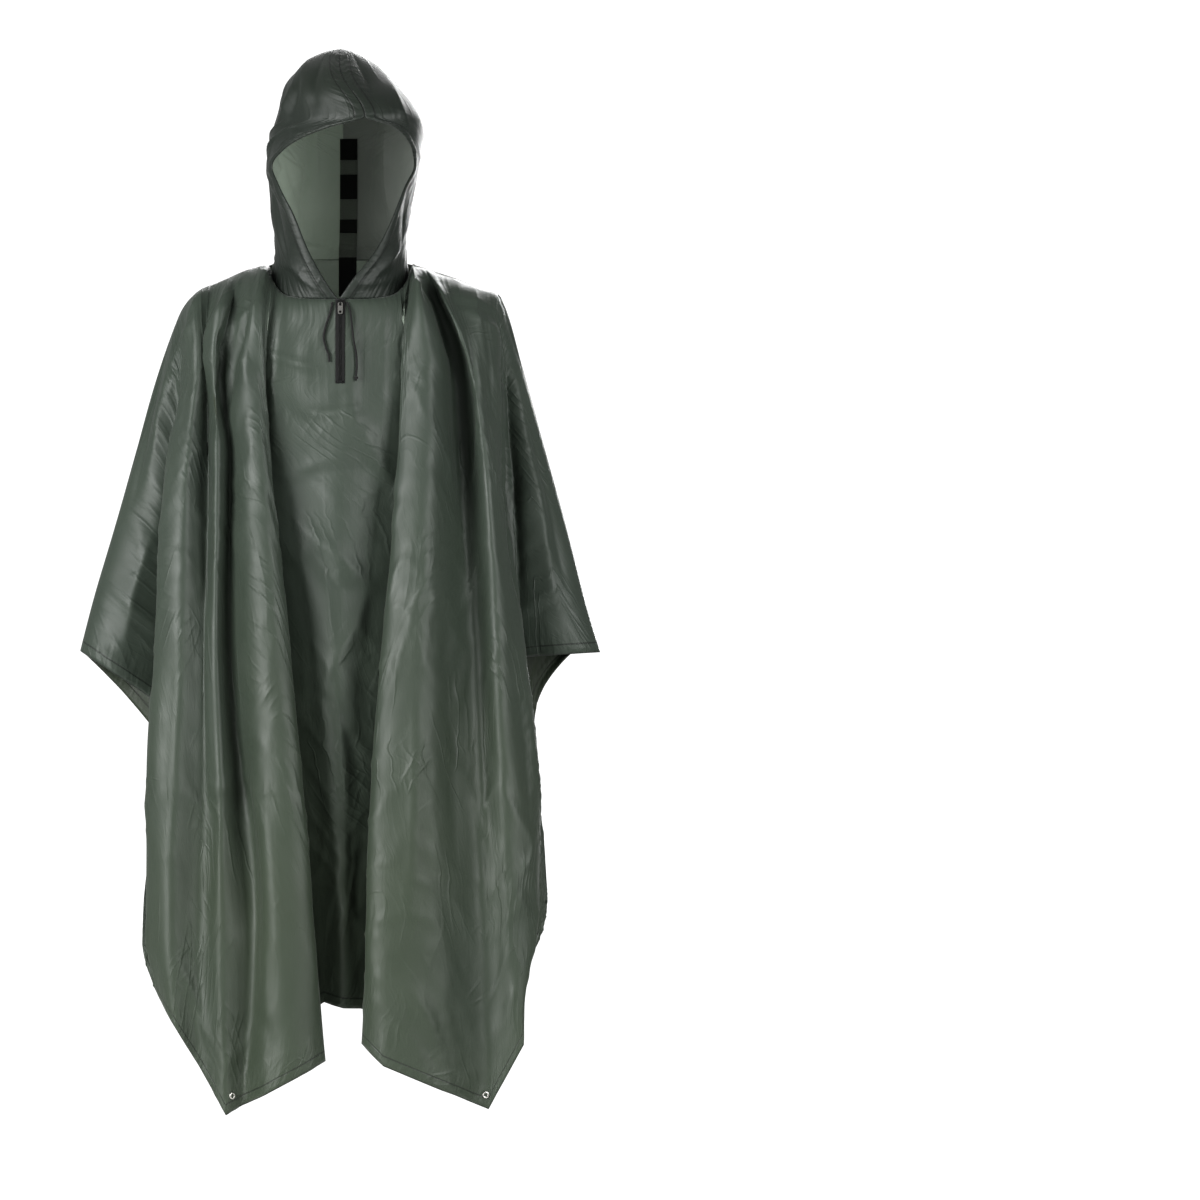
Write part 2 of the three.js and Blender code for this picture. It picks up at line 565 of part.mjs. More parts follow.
// A rounded rectangle about a middle.
function roundedShape(width, bottom, top, corner) {
  const half = width / 2;
  const shape = new THREE.Shape();
  shape.moveTo(-half + corner, bottom);
  shape.lineTo(half - corner, bottom);
  shape.quadraticCurveTo(half, bottom, half, bottom + corner);
  shape.lineTo(half, top - corner);
  shape.quadraticCurveTo(half, top, half - corner, top);
  shape.lineTo(-half + corner, top);
  shape.quadraticCurveTo(-half, top, -half, top - corner);
  shape.lineTo(-half, bottom + corner);
  shape.quadraticCurveTo(-half, bottom, -half + corner, bottom);
  return shape;
}

// The slider with the bridge that its pull hangs from, standing on the zip tape.
function sliderGeometry() {
  const outline = roundedShape(slider.width, -slider.length / 2, slider.length / 2, slider.corner);
  const body = new THREE.ExtrudeGeometry(outline,
    { depth: slider.height, bevelEnabled: false, curveSegments: 4 });
  const arch = new THREE.Shape();
  const rise = bridge.opening + bridge.wall;
  arch.moveTo(-bridge.half, -0.5);
  arch.lineTo(-bridge.half, rise - 1);
  arch.quadraticCurveTo(-bridge.half, rise, -bridge.half + 1, rise);
  arch.lineTo(bridge.half - 1, rise);
  arch.quadraticCurveTo(bridge.half, rise, bridge.half, rise - 1);
  arch.lineTo(bridge.half, -0.5);
  arch.lineTo(bridge.half - bridge.wall, -0.5);
  arch.lineTo(bridge.half - bridge.wall, bridge.opening);
  arch.lineTo(-bridge.half + bridge.wall, bridge.opening);
  arch.lineTo(-bridge.half + bridge.wall, -0.5);
  const loop = new THREE.ExtrudeGeometry(arch,
    { depth: bridge.width, bevelEnabled: false, curveSegments: 3 });
  loop.translate(0, 0, -bridge.width / 2).rotateY(Math.PI / 2).rotateX(Math.PI / 2);
  loop.translate(0, 0, slider.height);
  return fromSolid(solid(body).add(solid(loop)));
}

// The flat pull, hung from the middle of its own bar at the origin.
function pullGeometry() {
  const top = pull.bar / 2;
  const outline = roundedShape(pull.width, -pull.length, top, pull.corner);
  const eye = new THREE.Path();
  const half = pull.eyeWidth / 2;
  eye.moveTo(-half, -top);
  eye.lineTo(-half, -pull.eyeEnd);
  eye.lineTo(half, -pull.eyeEnd);
  eye.lineTo(half, -top);
  outline.holes.push(eye);
  const ring = new THREE.Path();
  ring.absarc(0, -pull.length + pull.corner + 0.4, pull.hole, 0, 2 * Math.PI, true);
  outline.holes.push(ring);
  const plate = new THREE.ExtrudeGeometry(outline,
    { depth: pull.wall, bevelEnabled: false, curveSegments: 5 });
  return plate.translate(0, 0, -pull.wall / 2);
}

// A free end of the drawcord, hung just off the front panel.
function cordCurve(grid, route) {
  return new THREE.CatmullRomCurve3(route.map(([x, z, room]) => {
    const { point, normal } = onCloth(grid, x, z, -1);
    return point.setY(point.y - (clothWall / 2 + room + cord.diameter / 2) / Math.abs(normal.y));
  }));
}

function cordGeometry(curve) {
  const section = new THREE.Shape();
  for (let i = 0; i < cord.sides; i += 1) {
    const turn = 2 * Math.PI * i / cord.sides;
    const [x, y] = [Math.cos(turn) * cord.diameter / 2, Math.sin(turn) * cord.diameter / 2];
    if (i === 0) section.moveTo(x, y);
    else section.lineTo(x, y);
  }
  return new THREE.ExtrudeGeometry(section, { steps: cord.steps, extrudePath: curve });
}

const frontGrid = panelGrid({ right: frontSleeveRight, folds: frontFolds, left: frontSleeveLeft },
  -1, frontCreases, panelRows, 2);
const backGrid = panelGrid({ right: backSleeveRight, folds: backFolds, left: backSleeveLeft },
  1, backCreases, panelRows, 2);
frontGrid.reverse();

const poncho = new THREE.Group();

function add(name, geometry, colour, metalness = 0, roughness = 0.5) {
  geometry.computeVertexNormals();
  const material = new THREE.MeshStandardMaterial({ color: colour, metalness, roughness });
  const mesh = new THREE.Mesh(geometry, material);
  mesh.name = name;
  poncho.add(mesh);
  return mesh;
}

// the sheet, front and back, and the two hood halves
add('body_front', holedPanel(frontGrid, frontEyelets, -1), clothColour);
add('body_back', holedPanel(backGrid, backEyelets, 1), clothColour);
const hoodHalves = { right: hoodGrid(-1), left: hoodGrid(1) };
add('hood_right', sheet(hoodHalves.right, clothWall), clothColour);
add('hood_left', sheet(hoodHalves.left, clothWall), clothColour);

// the zip on the front, from its tape outward
const tapeLift = clothWall / 2 + layGap + zip.tapeWall / 2;
const zipStrip = tapeGrid(frontGrid, zip.x, zip.tapeWidth, zip.top, zip.bottom, zip.steps, tapeLift);
add('zip_tape', sheet(zipStrip, zip.tapeWall), blackColour);

function onTape(z) {
  const { point, normal } = onCloth(frontGrid, zip.x, z, -1);
  normal.setX(0).normalize();
  return seat(point.addScaledVector(normal, tapeLift + zip.tapeWall / 2 + seamGap), normal);
}

const sliderSeat = onTape(slider.z);
const hingeHeight = slider.height + bridge.opening / 2;
add('zip_slider', sliderGeometry(), blackColour, 0.4).applyMatrix4(sliderSeat);
const hinge = new THREE.Vector3(0, 0, hingeHeight).applyMatrix4(sliderSeat);
const hang = new THREE.Matrix4().extractRotation(sliderSeat).setPosition(hinge);
add('zip_pull', pullGeometry(), metalColour, 1, 0.35).applyMatrix4(hang);
const bar = new THREE.BoxGeometry(stop.width, stop.height, stop.depth).translate(0, 0, stop.depth / 2);
add('zip_stop', bar, blackColour).applyMatrix4(onTape(zip.bottom + stop.height));

// the drawcord's two free ends and the knot on the longer one
const rightRoute = cordCurve(frontGrid, cordRight);
const leftRoute = cordCurve(frontGrid, cordLeft);
add('drawcord_right', cordGeometry(rightRoute), blackColour);
add('drawcord_left', cordGeometry(leftRoute), blackColour);
const knotPlace = leftRoute.getPoint(1).addScaledVector(leftRoute.getTangent(1), cord.knot + seamGap);
const knot = new THREE.SphereGeometry(cord.knot, 10, 7);
add('drawcord_knot', knot, blackColour).position.copy(knotPlace);

// hook and loop tape inside the hood, and its four patches
const inward = clothWall / 2 + layGap + tape.wall / 2;
const hoodStrip = hoodTapeGrid(hoodHalves, tape.top, tape.bottom, inward, tape.steps);
add('hood_tape', sheet(hoodStrip, tape.wall), blackColour);
loopSteps.forEach(([first, last], i) => {
  const patch = hoodStrip.map((column) => column.slice(first, last + 1));
  add(`hood_loop_${i + 1}`, sheet(patch, tape.wall, -tape.wall - seamGap), blackColour);
});

// an eyelet at each corner of the sheet
const corners = [['front_right', frontGrid, frontEyelets[0], -1],
  ['front_left', frontGrid, frontEyelets[1], -1],
  ['back_right', backGrid, backEyelets[0], 1],
  ['back_left', backGrid, backEyelets[1], 1]];
for (const [place, grid, [x, z], side] of corners) {
  add(`eyelet_${place}`, eyeletGeometry(), metalColour, 1, 0.3).applyMatrix4(eyeletSeat(grid, x, z, side));
}

export default poncho;
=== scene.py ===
import math
import bpy
import numpy as np
from mathutils import Matrix, Vector
from mathutils.bvhtree import BVHTree


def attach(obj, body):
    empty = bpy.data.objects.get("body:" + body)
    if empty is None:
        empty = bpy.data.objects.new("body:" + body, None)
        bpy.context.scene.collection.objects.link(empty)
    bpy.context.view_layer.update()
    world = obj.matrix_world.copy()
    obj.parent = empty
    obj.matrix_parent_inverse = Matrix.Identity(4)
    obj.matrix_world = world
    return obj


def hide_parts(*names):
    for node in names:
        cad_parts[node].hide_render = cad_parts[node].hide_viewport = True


# A hooded rain poncho of coated taffeta, worn. The tables are in millimetres, as the cut was
# planned, and become metres where a mesh is made. +Z is up and the front faces -Y.

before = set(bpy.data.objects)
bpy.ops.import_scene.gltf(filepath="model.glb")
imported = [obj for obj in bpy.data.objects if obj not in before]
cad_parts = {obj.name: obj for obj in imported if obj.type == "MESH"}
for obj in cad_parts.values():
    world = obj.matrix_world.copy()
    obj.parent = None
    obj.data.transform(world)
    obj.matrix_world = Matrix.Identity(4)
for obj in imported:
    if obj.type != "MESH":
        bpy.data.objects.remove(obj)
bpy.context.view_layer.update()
scene = bpy.context.scene
mm = 0.001


# camera: square on to the front, at the photograph's height, far off so that nothing leans
cameraPlace = {"across": 0.363, "height": -0.434, "distance": 12.0, "pictureWidth": 1.68}
cameraData = bpy.data.cameras.new("camera")
cameraData.sensor_width = 36
cameraData.lens = 36 * cameraPlace["distance"] / cameraPlace["pictureWidth"]
cameraData.clip_end = 60
camera = bpy.data.objects.new("camera", cameraData)
camera.location = (cameraPlace["across"], -cameraPlace["distance"], cameraPlace["height"])
camera.rotation_euler = (math.radians(90), 0, 0)
scene.collection.objects.link(camera)
scene.camera = camera
scene.view_settings.view_transform = "Standard"
scene.view_settings.look = "Medium High Contrast"
print("camera is set")


# materials

def linear(hexColour):
    parts = [int(hexColour[i:i + 2], 16) / 255 for i in (1, 3, 5)]
    return [p / 12.92 if p <= 0.04045 else ((p + 0.055) / 1.055) ** 2.4 for p in parts] + [1.0]


def addNode(tree, kind, settings=None, **inputs):
    # inputs are named after their sockets, with _ for a space, or _ and the socket's number;
    # a socket as the value makes a link
    node = tree.nodes.new(kind)
    for key, value in (settings or {}).items():
        setattr(node, key, value)
    for key, value in inputs.items():
        place = int(key[1:]) if key[1:].isdigit() else key.replace("_", " ")
        socket = node.inputs[place]
        if isinstance(value, bpy.types.NodeSocket):
            tree.links.new(value, socket)
        else:
            socket.default_value = value
    return node


def newMaterial(name):
    material = bpy.data.materials.new(name)
    material.use_nodes = True
    material.node_tree.nodes.clear()
    return material, material.node_tree


def finishMaterial(tree, **shader):
    principled = addNode(tree, "ShaderNodeBsdfPrincipled", **shader)
    addNode(tree, "ShaderNodeOutputMaterial", Surface=principled.outputs["BSDF"])


def ramp(tree, factor, stops):
    node = addNode(tree, "ShaderNodeValToRGB", Fac=factor)
    elements = node.color_ramp.elements
    while len(elements) < len(stops):
        elements.new(0.5)
    for element, (place, value) in zip(elements, stops):
        element.position = place
        element.color = value if hasattr(value, "__len__") else (value, value, value, 1)
    return node.outputs["Color"]


def math2(tree, operation, first, second=0.0):
    return addNode(tree, "ShaderNodeMath", {"operation": operation}, _0=first, _1=second).outputs[0]


def mixColour(tree, factor, first, second, blend="MIX"):
    return addNode(tree, "ShaderNodeMix", {"data_type": "RGBA", "blend_type": blend},
                   _0=factor, _6=first, _7=second).outputs[2]


def dimmed(colour, share):
    return [part * share for part in colour[:3]] + [1]


# Polyester taffeta, calendered and coated on one side. It takes broad soft highlights along each
# fold and keeps small hard wrinkles, since the coating makes it springy.
taffeta = {
    "face": ("#323a33", "#3d463d"), "inside": ("#283025", "#333c2e"),
    "hoodInsidePaintedLight": ("#808a7f", "#8f998d"), "glow": 0.17,  # painted light: a pale colour and a glow for the daylight that comes through the thin hood
    # painted shade: the hood's face side is a darker copy of the face cloth, and its shaded inside
    # half a darker copy of the lit inside
    "hoodFacePaintedShade": ("#1b211c", "#282f29"), "hoodShade": ("#666a65", "#747873"),
    "olive": "#353f28",  # painted light: a warmer olive tint towards the hem, for light that comes through the cloth there
    "faceRoughness": 0.52, "insideRoughness": 0.6, "sheen": 0.1,
    # sizes are widths and lengths of noise in millimetres, across the cloth and down it
    "wrinkles": (16, 90), "wrinkleDepth": 0.3, "patches": (150, 190), "oliveSize": (260, 420),
    "glossSize": (35, 60),
    # width and length of a crease, how far it is turned, and how rare it is
    "creaseSets": [(24, 260, 0.1, 0.5), (26, 170, 0.8, 0.56), (24, 190, -0.6, 0.54)],
    "creasePatches": (110, 150), "creaseDepth": 0.55,
    # pitch along the ridge, reach down the cloth, and depth beside the other creases
    "fans": [(20, 240, 1.6), (36, 560, 1.3)], "ridgeLength": 1580,
    "crumples": (45, 72), "crumpleDepth": 0.6,
    "yarns": (1.6, 8), "yarnDepth": 0.03,  # real ones are 0.25 mm apart, drawn coarser to show
    "hemWidth": 16, "hemDepth": 0.5, "pucker": (9, 30), "puckerDepth": 2.0,
    "gathers": (10, 90), "gatherReach": 80, "gatherDepth": 4.0, "neckLight": 160,
}


def clothMaterial(name, colours, roughness, nearNeck=None, glow=0.0):
    material, tree = newMaterial(name)
    cloth = addNode(tree, "ShaderNodeUVMap", {"uv_map": "cloth"}).outputs["UV"]
    edge = addNode(tree, "ShaderNodeUVMap", {"uv_map": "edge"}).outputs["UV"]
    edgeParts = addNode(tree, "ShaderNodeSeparateXYZ", Vector=edge)
    hemDistance, hemRun = edgeParts.outputs["X"], edgeParts.outputs["Y"]
    seamDistance = addNode(tree, "ShaderNodeAttribute", {"attribute_name": "seam"}).outputs["Fac"]
    lowDown = addNode(tree, "ShaderNodeSeparateXYZ", Vector=cloth).outputs["Y"]

    def patterned(kind, size, settings=None, turn=0.0, **inputs):
        mapped = addNode(tree, "ShaderNodeMapping", {"vector_type": "TEXTURE"}, Vector=cloth,
                         Rotation=(0, 0, turn), Scale=(size[0] * mm, size[1] * mm, 1))
        return addNode(tree, kind, settings, Vector=mapped.outputs["Vector"], Scale=1.0, **inputs)

    def noise(size, turn=0.0, **inputs):
        return patterned("ShaderNodeTexNoise", size, turn=turn, **inputs).outputs["Fac"]

    def times(first, second):
        return math2(tree, "MULTIPLY", first, second)

    def plus(first, second):
        return math2(tree, "ADD", first, second)

    def shareOf(measure, length):
        return math2(tree, "DIVIDE", measure, length * mm)

    def plainNoise(x, y):
        place = addNode(tree, "ShaderNodeCombineXYZ", X=x, Y=y).outputs["Vector"]
        grain = addNode(tree, "ShaderNodeTexNoise", Vector=place, Scale=1.0, Detail=1.0)
        return grain.outputs["Fac"]

    # long wrinkles that run with the fall, short crumples, and the yarns
    wrinkles = noise(taffeta["wrinkles"], Detail=3.0, Roughness=0.5, Distortion=0.6)
    hardWrinkles = ramp(tree, wrinkles,
                        [(0.0, 0.35), (0.42, 0.45), (0.5, 1.0), (0.58, 0.45), (1.0, 0.35)])
    crumpled = patterned("ShaderNodeTexVoronoi", taffeta["crumples"], {"feature": "SMOOTH_F1"},
                         Smoothness=0.35, Randomness=1.0).outputs["Distance"]
    patches = noise(taffeta["patches"], Detail=2.0)
    calm = ramp(tree, patches, [(0.38, 0.15), (0.62, 1.0)])  # crumpled in patches, smooth between
    weave = noise(taffeta["yarns"], Detail=2.0)

    # stitched hem: a fold of even width, its stitch line, and the puckers that the thread pulls
    hemShare = shareOf(hemDistance, taffeta["hemWidth"])
    insideHem = ramp(tree, hemShare,
                     [(0.0, 0.25), (0.06, 0.9), (0.8, 1.0), (0.9, 0.0), (1.0, 0.55)])
    nearHem = ramp(tree, shareOf(hemDistance, 3 * taffeta["hemWidth"]),
                   [(0.0, 1.0), (0.35, 0.9), (1.0, 0.0)])
    puckerLength, puckerReach = taffeta["pucker"]
    puckers = plainNoise(shareOf(hemRun, puckerLength), shareOf(hemDistance, puckerReach))
    puckerHeight = times(puckers, nearHem)

    # gathers where the neck seam draws the cloth in
    nearSeam = ramp(tree, shareOf(seamDistance, taffeta["gatherReach"]),
                    [(0.0, 1.0), (0.25, 0.7), (1.0, 0.0)])
    gatherHeight = times(noise(taffeta["gathers"], Detail=1.0), nearSeam)

    # thin hard creases, where stretched noise crosses its middle, each set leaning its own way
    creases = 0.0
    for width, length, turn, floor in taffeta["creaseSets"]:
        lines = noise((width, length), turn, Detail=0.0, Distortion=0.1)
        where = noise(taffeta["creasePatches"], 2 * turn + 1, Detail=1.0)
        hard = times(ramp(tree, lines, [(0.43, 0.0), (0.5, 1.0), (0.57, 0.0)]),
                     ramp(tree, where, [(floor, 0.0), (floor + 0.1, 1.0)]))
        creases = plus(hard, creases)

    # thin creases that run down from the shoulder ridge, each along its own line of the cloth,
    # strong over the shoulders, weaker over the chest and none on the sleeves
    ridgePlace = addNode(tree, "ShaderNodeAttribute", {"attribute_name": "fan"}).outputs["Fac"]
    gathered = ramp(tree, shareOf(ridgePlace, taffeta["ridgeLength"]),
                    [(0.14, 0.0), (0.26, 1.0), (0.4, 1.0), (0.46, 0.3),
                     (0.54, 0.3), (0.6, 1.0), (0.74, 1.0), (0.86, 0.0)])
    for pitch, reach, depth in taffeta["fans"]:
        lines = plainNoise(shareOf(ridgePlace, pitch), shareOf(lowDown, 1.5 * reach))
        fade = ramp(tree, shareOf(lowDown, reach),
                    [(0.0, 0.3), (0.12, 1.0), (0.5, 0.7), (1.0, 0.0)])
        hard = ramp(tree, lines, [(0.4, 0.0), (0.5, depth), (0.6, 0.0)])
        creases = plus(times(hard, times(fade, gathered)), creases)

    height = times(hardWrinkles, taffeta["wrinkleDepth"])
    height = plus(height, times(crumpled, taffeta["crumpleDepth"]))
    height = times(height, calm)
    for layer, depth in ((weave, "yarnDepth"), (creases, "creaseDepth"), (insideHem, "hemDepth"),
                         (puckerHeight, "puckerDepth"), (gatherHeight, "gatherDepth")):
        height = plus(height, times(layer, taffeta[depth]))
    bump = addNode(tree, "ShaderNodeBump", Strength=0.8, Distance=mm, Height=height)

    tint = mixColour(tree, patches, linear(colours[0]), linear(colours[1]))
    # painted light: an olive tint in patches towards the hem, for light coming through the cloth
    olive = times(ramp(tree, lowDown, [(0.35, 0.0), (0.95, 0.55)]),
                  noise(taffeta["oliveSize"], Detail=1.0))
    tint = mixColour(tree, olive, tint, linear(taffeta["olive"]))
    if nearNeck:  # the light that comes through the hood reaches a little below the neck seam
        reached = ramp(tree, shareOf(seamDistance, taffeta["neckLight"]), [(0.3, 1.0), (1.0, 0.0)])
        tint = mixColour(tree, reached, tint, linear(nearNeck))
        glow = times(reached, taffeta["glow"])
    # painted shade: the stitch row and the turned edge are darkened as lines, for the shade in
    # their grooves
    hemPaintedShade = ramp(tree, hemShare, [(0.0, 0.35), (0.14, 1.0), (0.8, 1.0),
                                     (0.86, 0.35), (0.94, 0.35), (1.0, 1.0)])
    tint = mixColour(tree, 0.8, tint, hemPaintedShade, "MULTIPLY")
    spread = ramp(tree, noise(taffeta["glossSize"], Detail=3.0), [(0.3, roughness - 0.06),
                                                                  (0.7, roughness + 0.07)])
    finishMaterial(tree, Base_Color=tint, Roughness=spread, IOR=1.5, Normal=bump.outputs["Normal"],
                   Sheen_Weight=taffeta["sheen"], Sheen_Roughness=0.4, Specular_IOR_Level=0.42,
                   Emission_Color=tint, Emission_Strength=glow)
    return material


faceCloth = clothMaterial("coated taffeta, face side", taffeta["face"], taffeta["faceRoughness"])
insideCloth = clothMaterial("coated taffeta, inner side", taffeta["inside"],
                            taffeta["insideRoughness"], nearNeck=taffeta["hoodInsidePaintedLight"][0])
# painted shade: the hood's outside is a darker copy of the face cloth
hoodFacePaintedShade = clothMaterial("coated taffeta, face side of hood, painted shade", taffeta["hoodFacePaintedShade"],
                         taffeta["faceRoughness"])
# painted light: the hood's inside is painted pale and glows, for daylight coming through it
hoodInsidePaintedLight = clothMaterial("coated taffeta, inner side of hood, painted light", taffeta["hoodInsidePaintedLight"],
                           taffeta["insideRoughness"], glow=taffeta["glow"])
# painted light and shade: the other inside half, paler than the cloth, darker and with a weaker
# glow than the lit half
hoodShade = clothMaterial("coated taffeta, shaded side of hood", taffeta["hoodShade"],
                          taffeta["insideRoughness"], glow=0.75 * taffeta["glow"])


def wovenMaterial(name, colour, rib, depth, roughness=0.85):
    # polyester yarn, woven close: a dull surface with a fine rib that catches light
    material, tree = newMaterial(name)
    place = addNode(tree, "ShaderNodeUVMap", {"uv_map": "cloth"}).outputs["UV"]
    mapped = addNode(tree, "ShaderNodeMapping", Vector=place,
                     Scale=(1 / (rib * mm),) * 3).outputs["Vector"]
    ribs = addNode(tree, "ShaderNodeTexWave", {"bands_direction": "Y"}, Vector=mapped, Scale=0.32,
                   Distortion=0.6).outputs["Fac"]
    fuzz = addNode(tree, "ShaderNodeTexNoise", Vector=mapped, Scale=1.2, Detail=3.0).outputs["Fac"]
    height = math2(tree, "ADD", ribs, fuzz)
    bump = addNode(tree, "ShaderNodeBump", Strength=0.7, Distance=depth * mm, Height=height)
    shade = ramp(tree, fuzz, [(0.3, dimmed(linear(colour), 0.6)), (0.7, linear(colour))])
    finishMaterial(tree, Base_Color=shade, Roughness=roughness, IOR=1.5,
                   Normal=bump.outputs["Normal"], Sheen_Weight=0.06, Sheen_Roughness=0.5)
    return material


def metalMaterial(name, colour, roughness, metallic=1.0, grain=0.8):
    # nickel plate over pressed brass, or lacquer over zinc: smooth, with faint tumbling marks
    material, tree = newMaterial(name)
    place = addNode(tree, "ShaderNodeTexCoord").outputs["Object"]
    marks = addNode(tree, "ShaderNodeTexNoise", Vector=place, Scale=1 / (grain * mm),
                    Detail=2.0).outputs["Fac"]
    bump = addNode(tree, "ShaderNodeBump", Strength=0.02, Distance=0.02 * mm, Height=marks)
    spread = ramp(tree, marks, [(0.2, roughness - 0.02), (0.8, roughness + 0.02)])
    shade = ramp(tree, marks, [(0.2, dimmed(linear(colour), 0.95)), (0.8, linear(colour))])
    finishMaterial(tree, Base_Color=shade, Metallic=metallic, Roughness=spread,
                   Normal=bump.outputs["Normal"])
    return material


tapeCloth = wovenMaterial("woven zip tape, black polyester", "#0d0e0d", 0.8, 0.25)
# painted light: the dark grey webbing is given a lighter grey, for the light inside the hood
webbingCloth = wovenMaterial("woven webbing, dark grey, painted lighter", "#7b7f79", 1.4, 0.35)
loopCloth = wovenMaterial("loop pile, black nylon", "#101110", 1.1, 0.9, 0.95)
cordBraid = wovenMaterial("braided cord, black polyester", "#0e0f0e", 1.2, 0.35, 0.75)
coilNylon = metalMaterial("moulded nylon coil, black", "#0e0f0e", 0.38, 0.0)
lacquer = metalMaterial("lacquered zinc, black", "#151615", 0.3, 0.0)
nickel = metalMaterial("nickel plate, tumbled", "#c3c2bd", 0.28)
print("materials are made")


# shapes shared by the panels

neck = {"halfWidth": 97, "front": -108, "back": 66}  # the neck hole's half width and depths
neckHeights = [(0, -16), (45, -12), (75, 12), (96, 32), (125, 42), (180, 46)]
# x outward and z along the shoulder and arm ridge
ridgeRight = [(96, 34), (115, 32), (160, 15), (204, -7), (224, -29), (239, -73), (263, -147),
              (302, -287), (343, -427), (363, -505)]
ridgeLeft = [(96, 36), (133, 25), (181, 8), (224, -15), (236, -37), (251, -99), (284, -217),
             (322, -357), (341, -434), (363, -507)]
ridgePlane = {"y": 4, "lean": 0.055}
shoulderRound = 74
clothThickness = 0.7  # thicker than the real 0.1, so that an edge still shows as a line
levels = [-112, -252, -462, -714, -900]
edgeReach, edgeStep = 363, 3  # how far out the ridge is followed, and in what steps

# Folds from the wearer's right to the left: x on the shoulder, x at the five levels, y at the five
# levels, and x and z at the hem.
frontFolds = [
    # the right side: outer edge, outer lobe, small valley, middle ridge, long valley, inner lobe,
    # inner ridge and inner edge
    (-233, (-219, -240, -253, -267, -267), (-66, -88, -116, -126, -130), (-250, -982)),
    (-206, (-199, -212, -219, -230, -234), (-96, -122, -152, -166, -168), (-225, -1022)),
    (-172, (-183, -180, -184, -184, -190), (-78, -98, -134, -148, -154), (-189, -1082)),
    (-156, (-171, -167, -168, -160, -160), (-108, -134, -154, -172, -178), (-153, -1145)),
    (-140, (-159, -150, -150, -133, -116), (-88, -106, -126, -146, -162), (-131, -1132)),
    (-120, (-138, -126, -117, -102, -94), (-118, -144, -174, -190, -198), (-97, -1115)),
    (-101, (-111, -101, -85, -65, -52), (-126, -152, -184, -198, -202), (-54, -1092)),
    (-93, (-100, -90, -69, -46, -31), (-118, -138, -164, -176, -178), (-16, -1070)),
    # the middle: behind the right edge, right, middle, left, and behind the left edge
    (-87, (-106, -112, -106, -92, -80), (-106, -108, -112, -114, -116), (-58, -1016)),
    (-66, (-80, -74, -56, -36, -22), (-114, -114, -122, -126, -128), (-19, -991)),
    (0, (0, 0, -2, 2, 8), (-122, -128, -136, -140, -142), (8, -999)),
    (66, (66, 62, 46, 32, 28), (-112, -112, -120, -126, -128), (32, -1000)),
    (87, (98, 108, 104, 92, 86), (-104, -106, -110, -112, -114), (72, -1010)),
    # the left side: inner edge, inner ridge, inner lobe, long valley, middle ridge, outer lobe
    # and outer edge
    (93, (88, 83, 65, 47, 41), (-116, -136, -160, -172, -176), (35, -1046)),
    (100, (98, 95, 84, 68, 62), (-128, -154, -186, -200, -204), (66, -1076)),
    (107, (132, 134, 132, 130, 132), (-132, -156, -184, -196, -200), (132, -1104)),
    (116, (168, 174, 184, 195, 197), (-84, -100, -122, -142, -152), (209, -1138)),
    (130, (184, 203, 219, 232, 240), (-110, -128, -148, -160, -166), (258, -1048)),
    (194, (212, 219, 241, 265, 272), (-98, -112, -128, -142, -148), (256, -962)),
    (228, (230, 231, 253, 280, 285), (-74, -80, -98, -112, -118), (278, -905)),
]
backFolds = [
    # the right side: outer edge, outer lobe, small valley, then the panel, its ridge and its edge
    (-233, (-226, -248, -258, -263, -264), (60, 78, 98, 112, 118), (-256, -930)),
    (-214, (-214, -230, -236, -240, -242), (86, 108, 130, 142, 148), (-232, -1000)),
    (-192, (-200, -211, -214, -217, -220), (62, 72, 84, 94, 102), (-206, -1050)),
    (-160, (-178, -185, -184, -181, -181), (102, 132, 160, 178, 188), (-181, -1132)),
    (-128, (-155, -163, -160, -150, -146), (108, 136, 168, 188, 196), (-146, -1124)),
    (-112, (-140, -149, -141, -130, -124), (96, 116, 142, 158, 164), (-123, -1098)),
    # the middle: behind the right edge, the recess ridge, the recess, behind the middle edge,
    # the middle edge and the middle ridge
    (-102, (-148, -174, -182, -180, -176), (82, 88, 96, 102, 106), (-166, -1012)),
    (-80, (-100, -105, -99, -97, -95), (100, 120, 140, 150, 154), (-94, -1001)),
    (-40, (-50, -53, -53, -50, -46), (96, 112, 126, 134, 138), (-46, -988)),
    (6, (24, 44, 52, 50, 48), (92, 96, 100, 106, 110), (36, -976)),
    (12, (13, 8, -2, -10, -12), (106, 124, 142, 154, 160), (-12, -988)),
    (28, (33, 30, 24, 20, 17), (112, 134, 158, 172, 178), (20, -996)),
    # the left side: panel, its side, ridge and edge, the deep valley, and the outer lobe
    (60, (82, 84, 84, 84, 84), (116, 138, 158, 172, 178), (84, -1001)),
    (98, (128, 131, 132, 132, 130), (110, 134, 156, 168, 172), (127, -1011)),
    (140, (166, 178, 186, 203, 216), (98, 126, 150, 160, 164), (186, -1038)),
    (170, (180, 193, 201, 217, 231), (82, 102, 124, 136, 140), (232, -1062)),
    (196, (182, 190, 195, 208, 222), (60, 68, 78, 88, 96), (226, -990)),
    (212, (196, 206, 214, 226, 226), (72, 84, 92, 98, 98), (226, -776)),
    (228, (222, 240, 254, 262, 262), (74, 94, 106, 112, 112), (254, -738)),
]

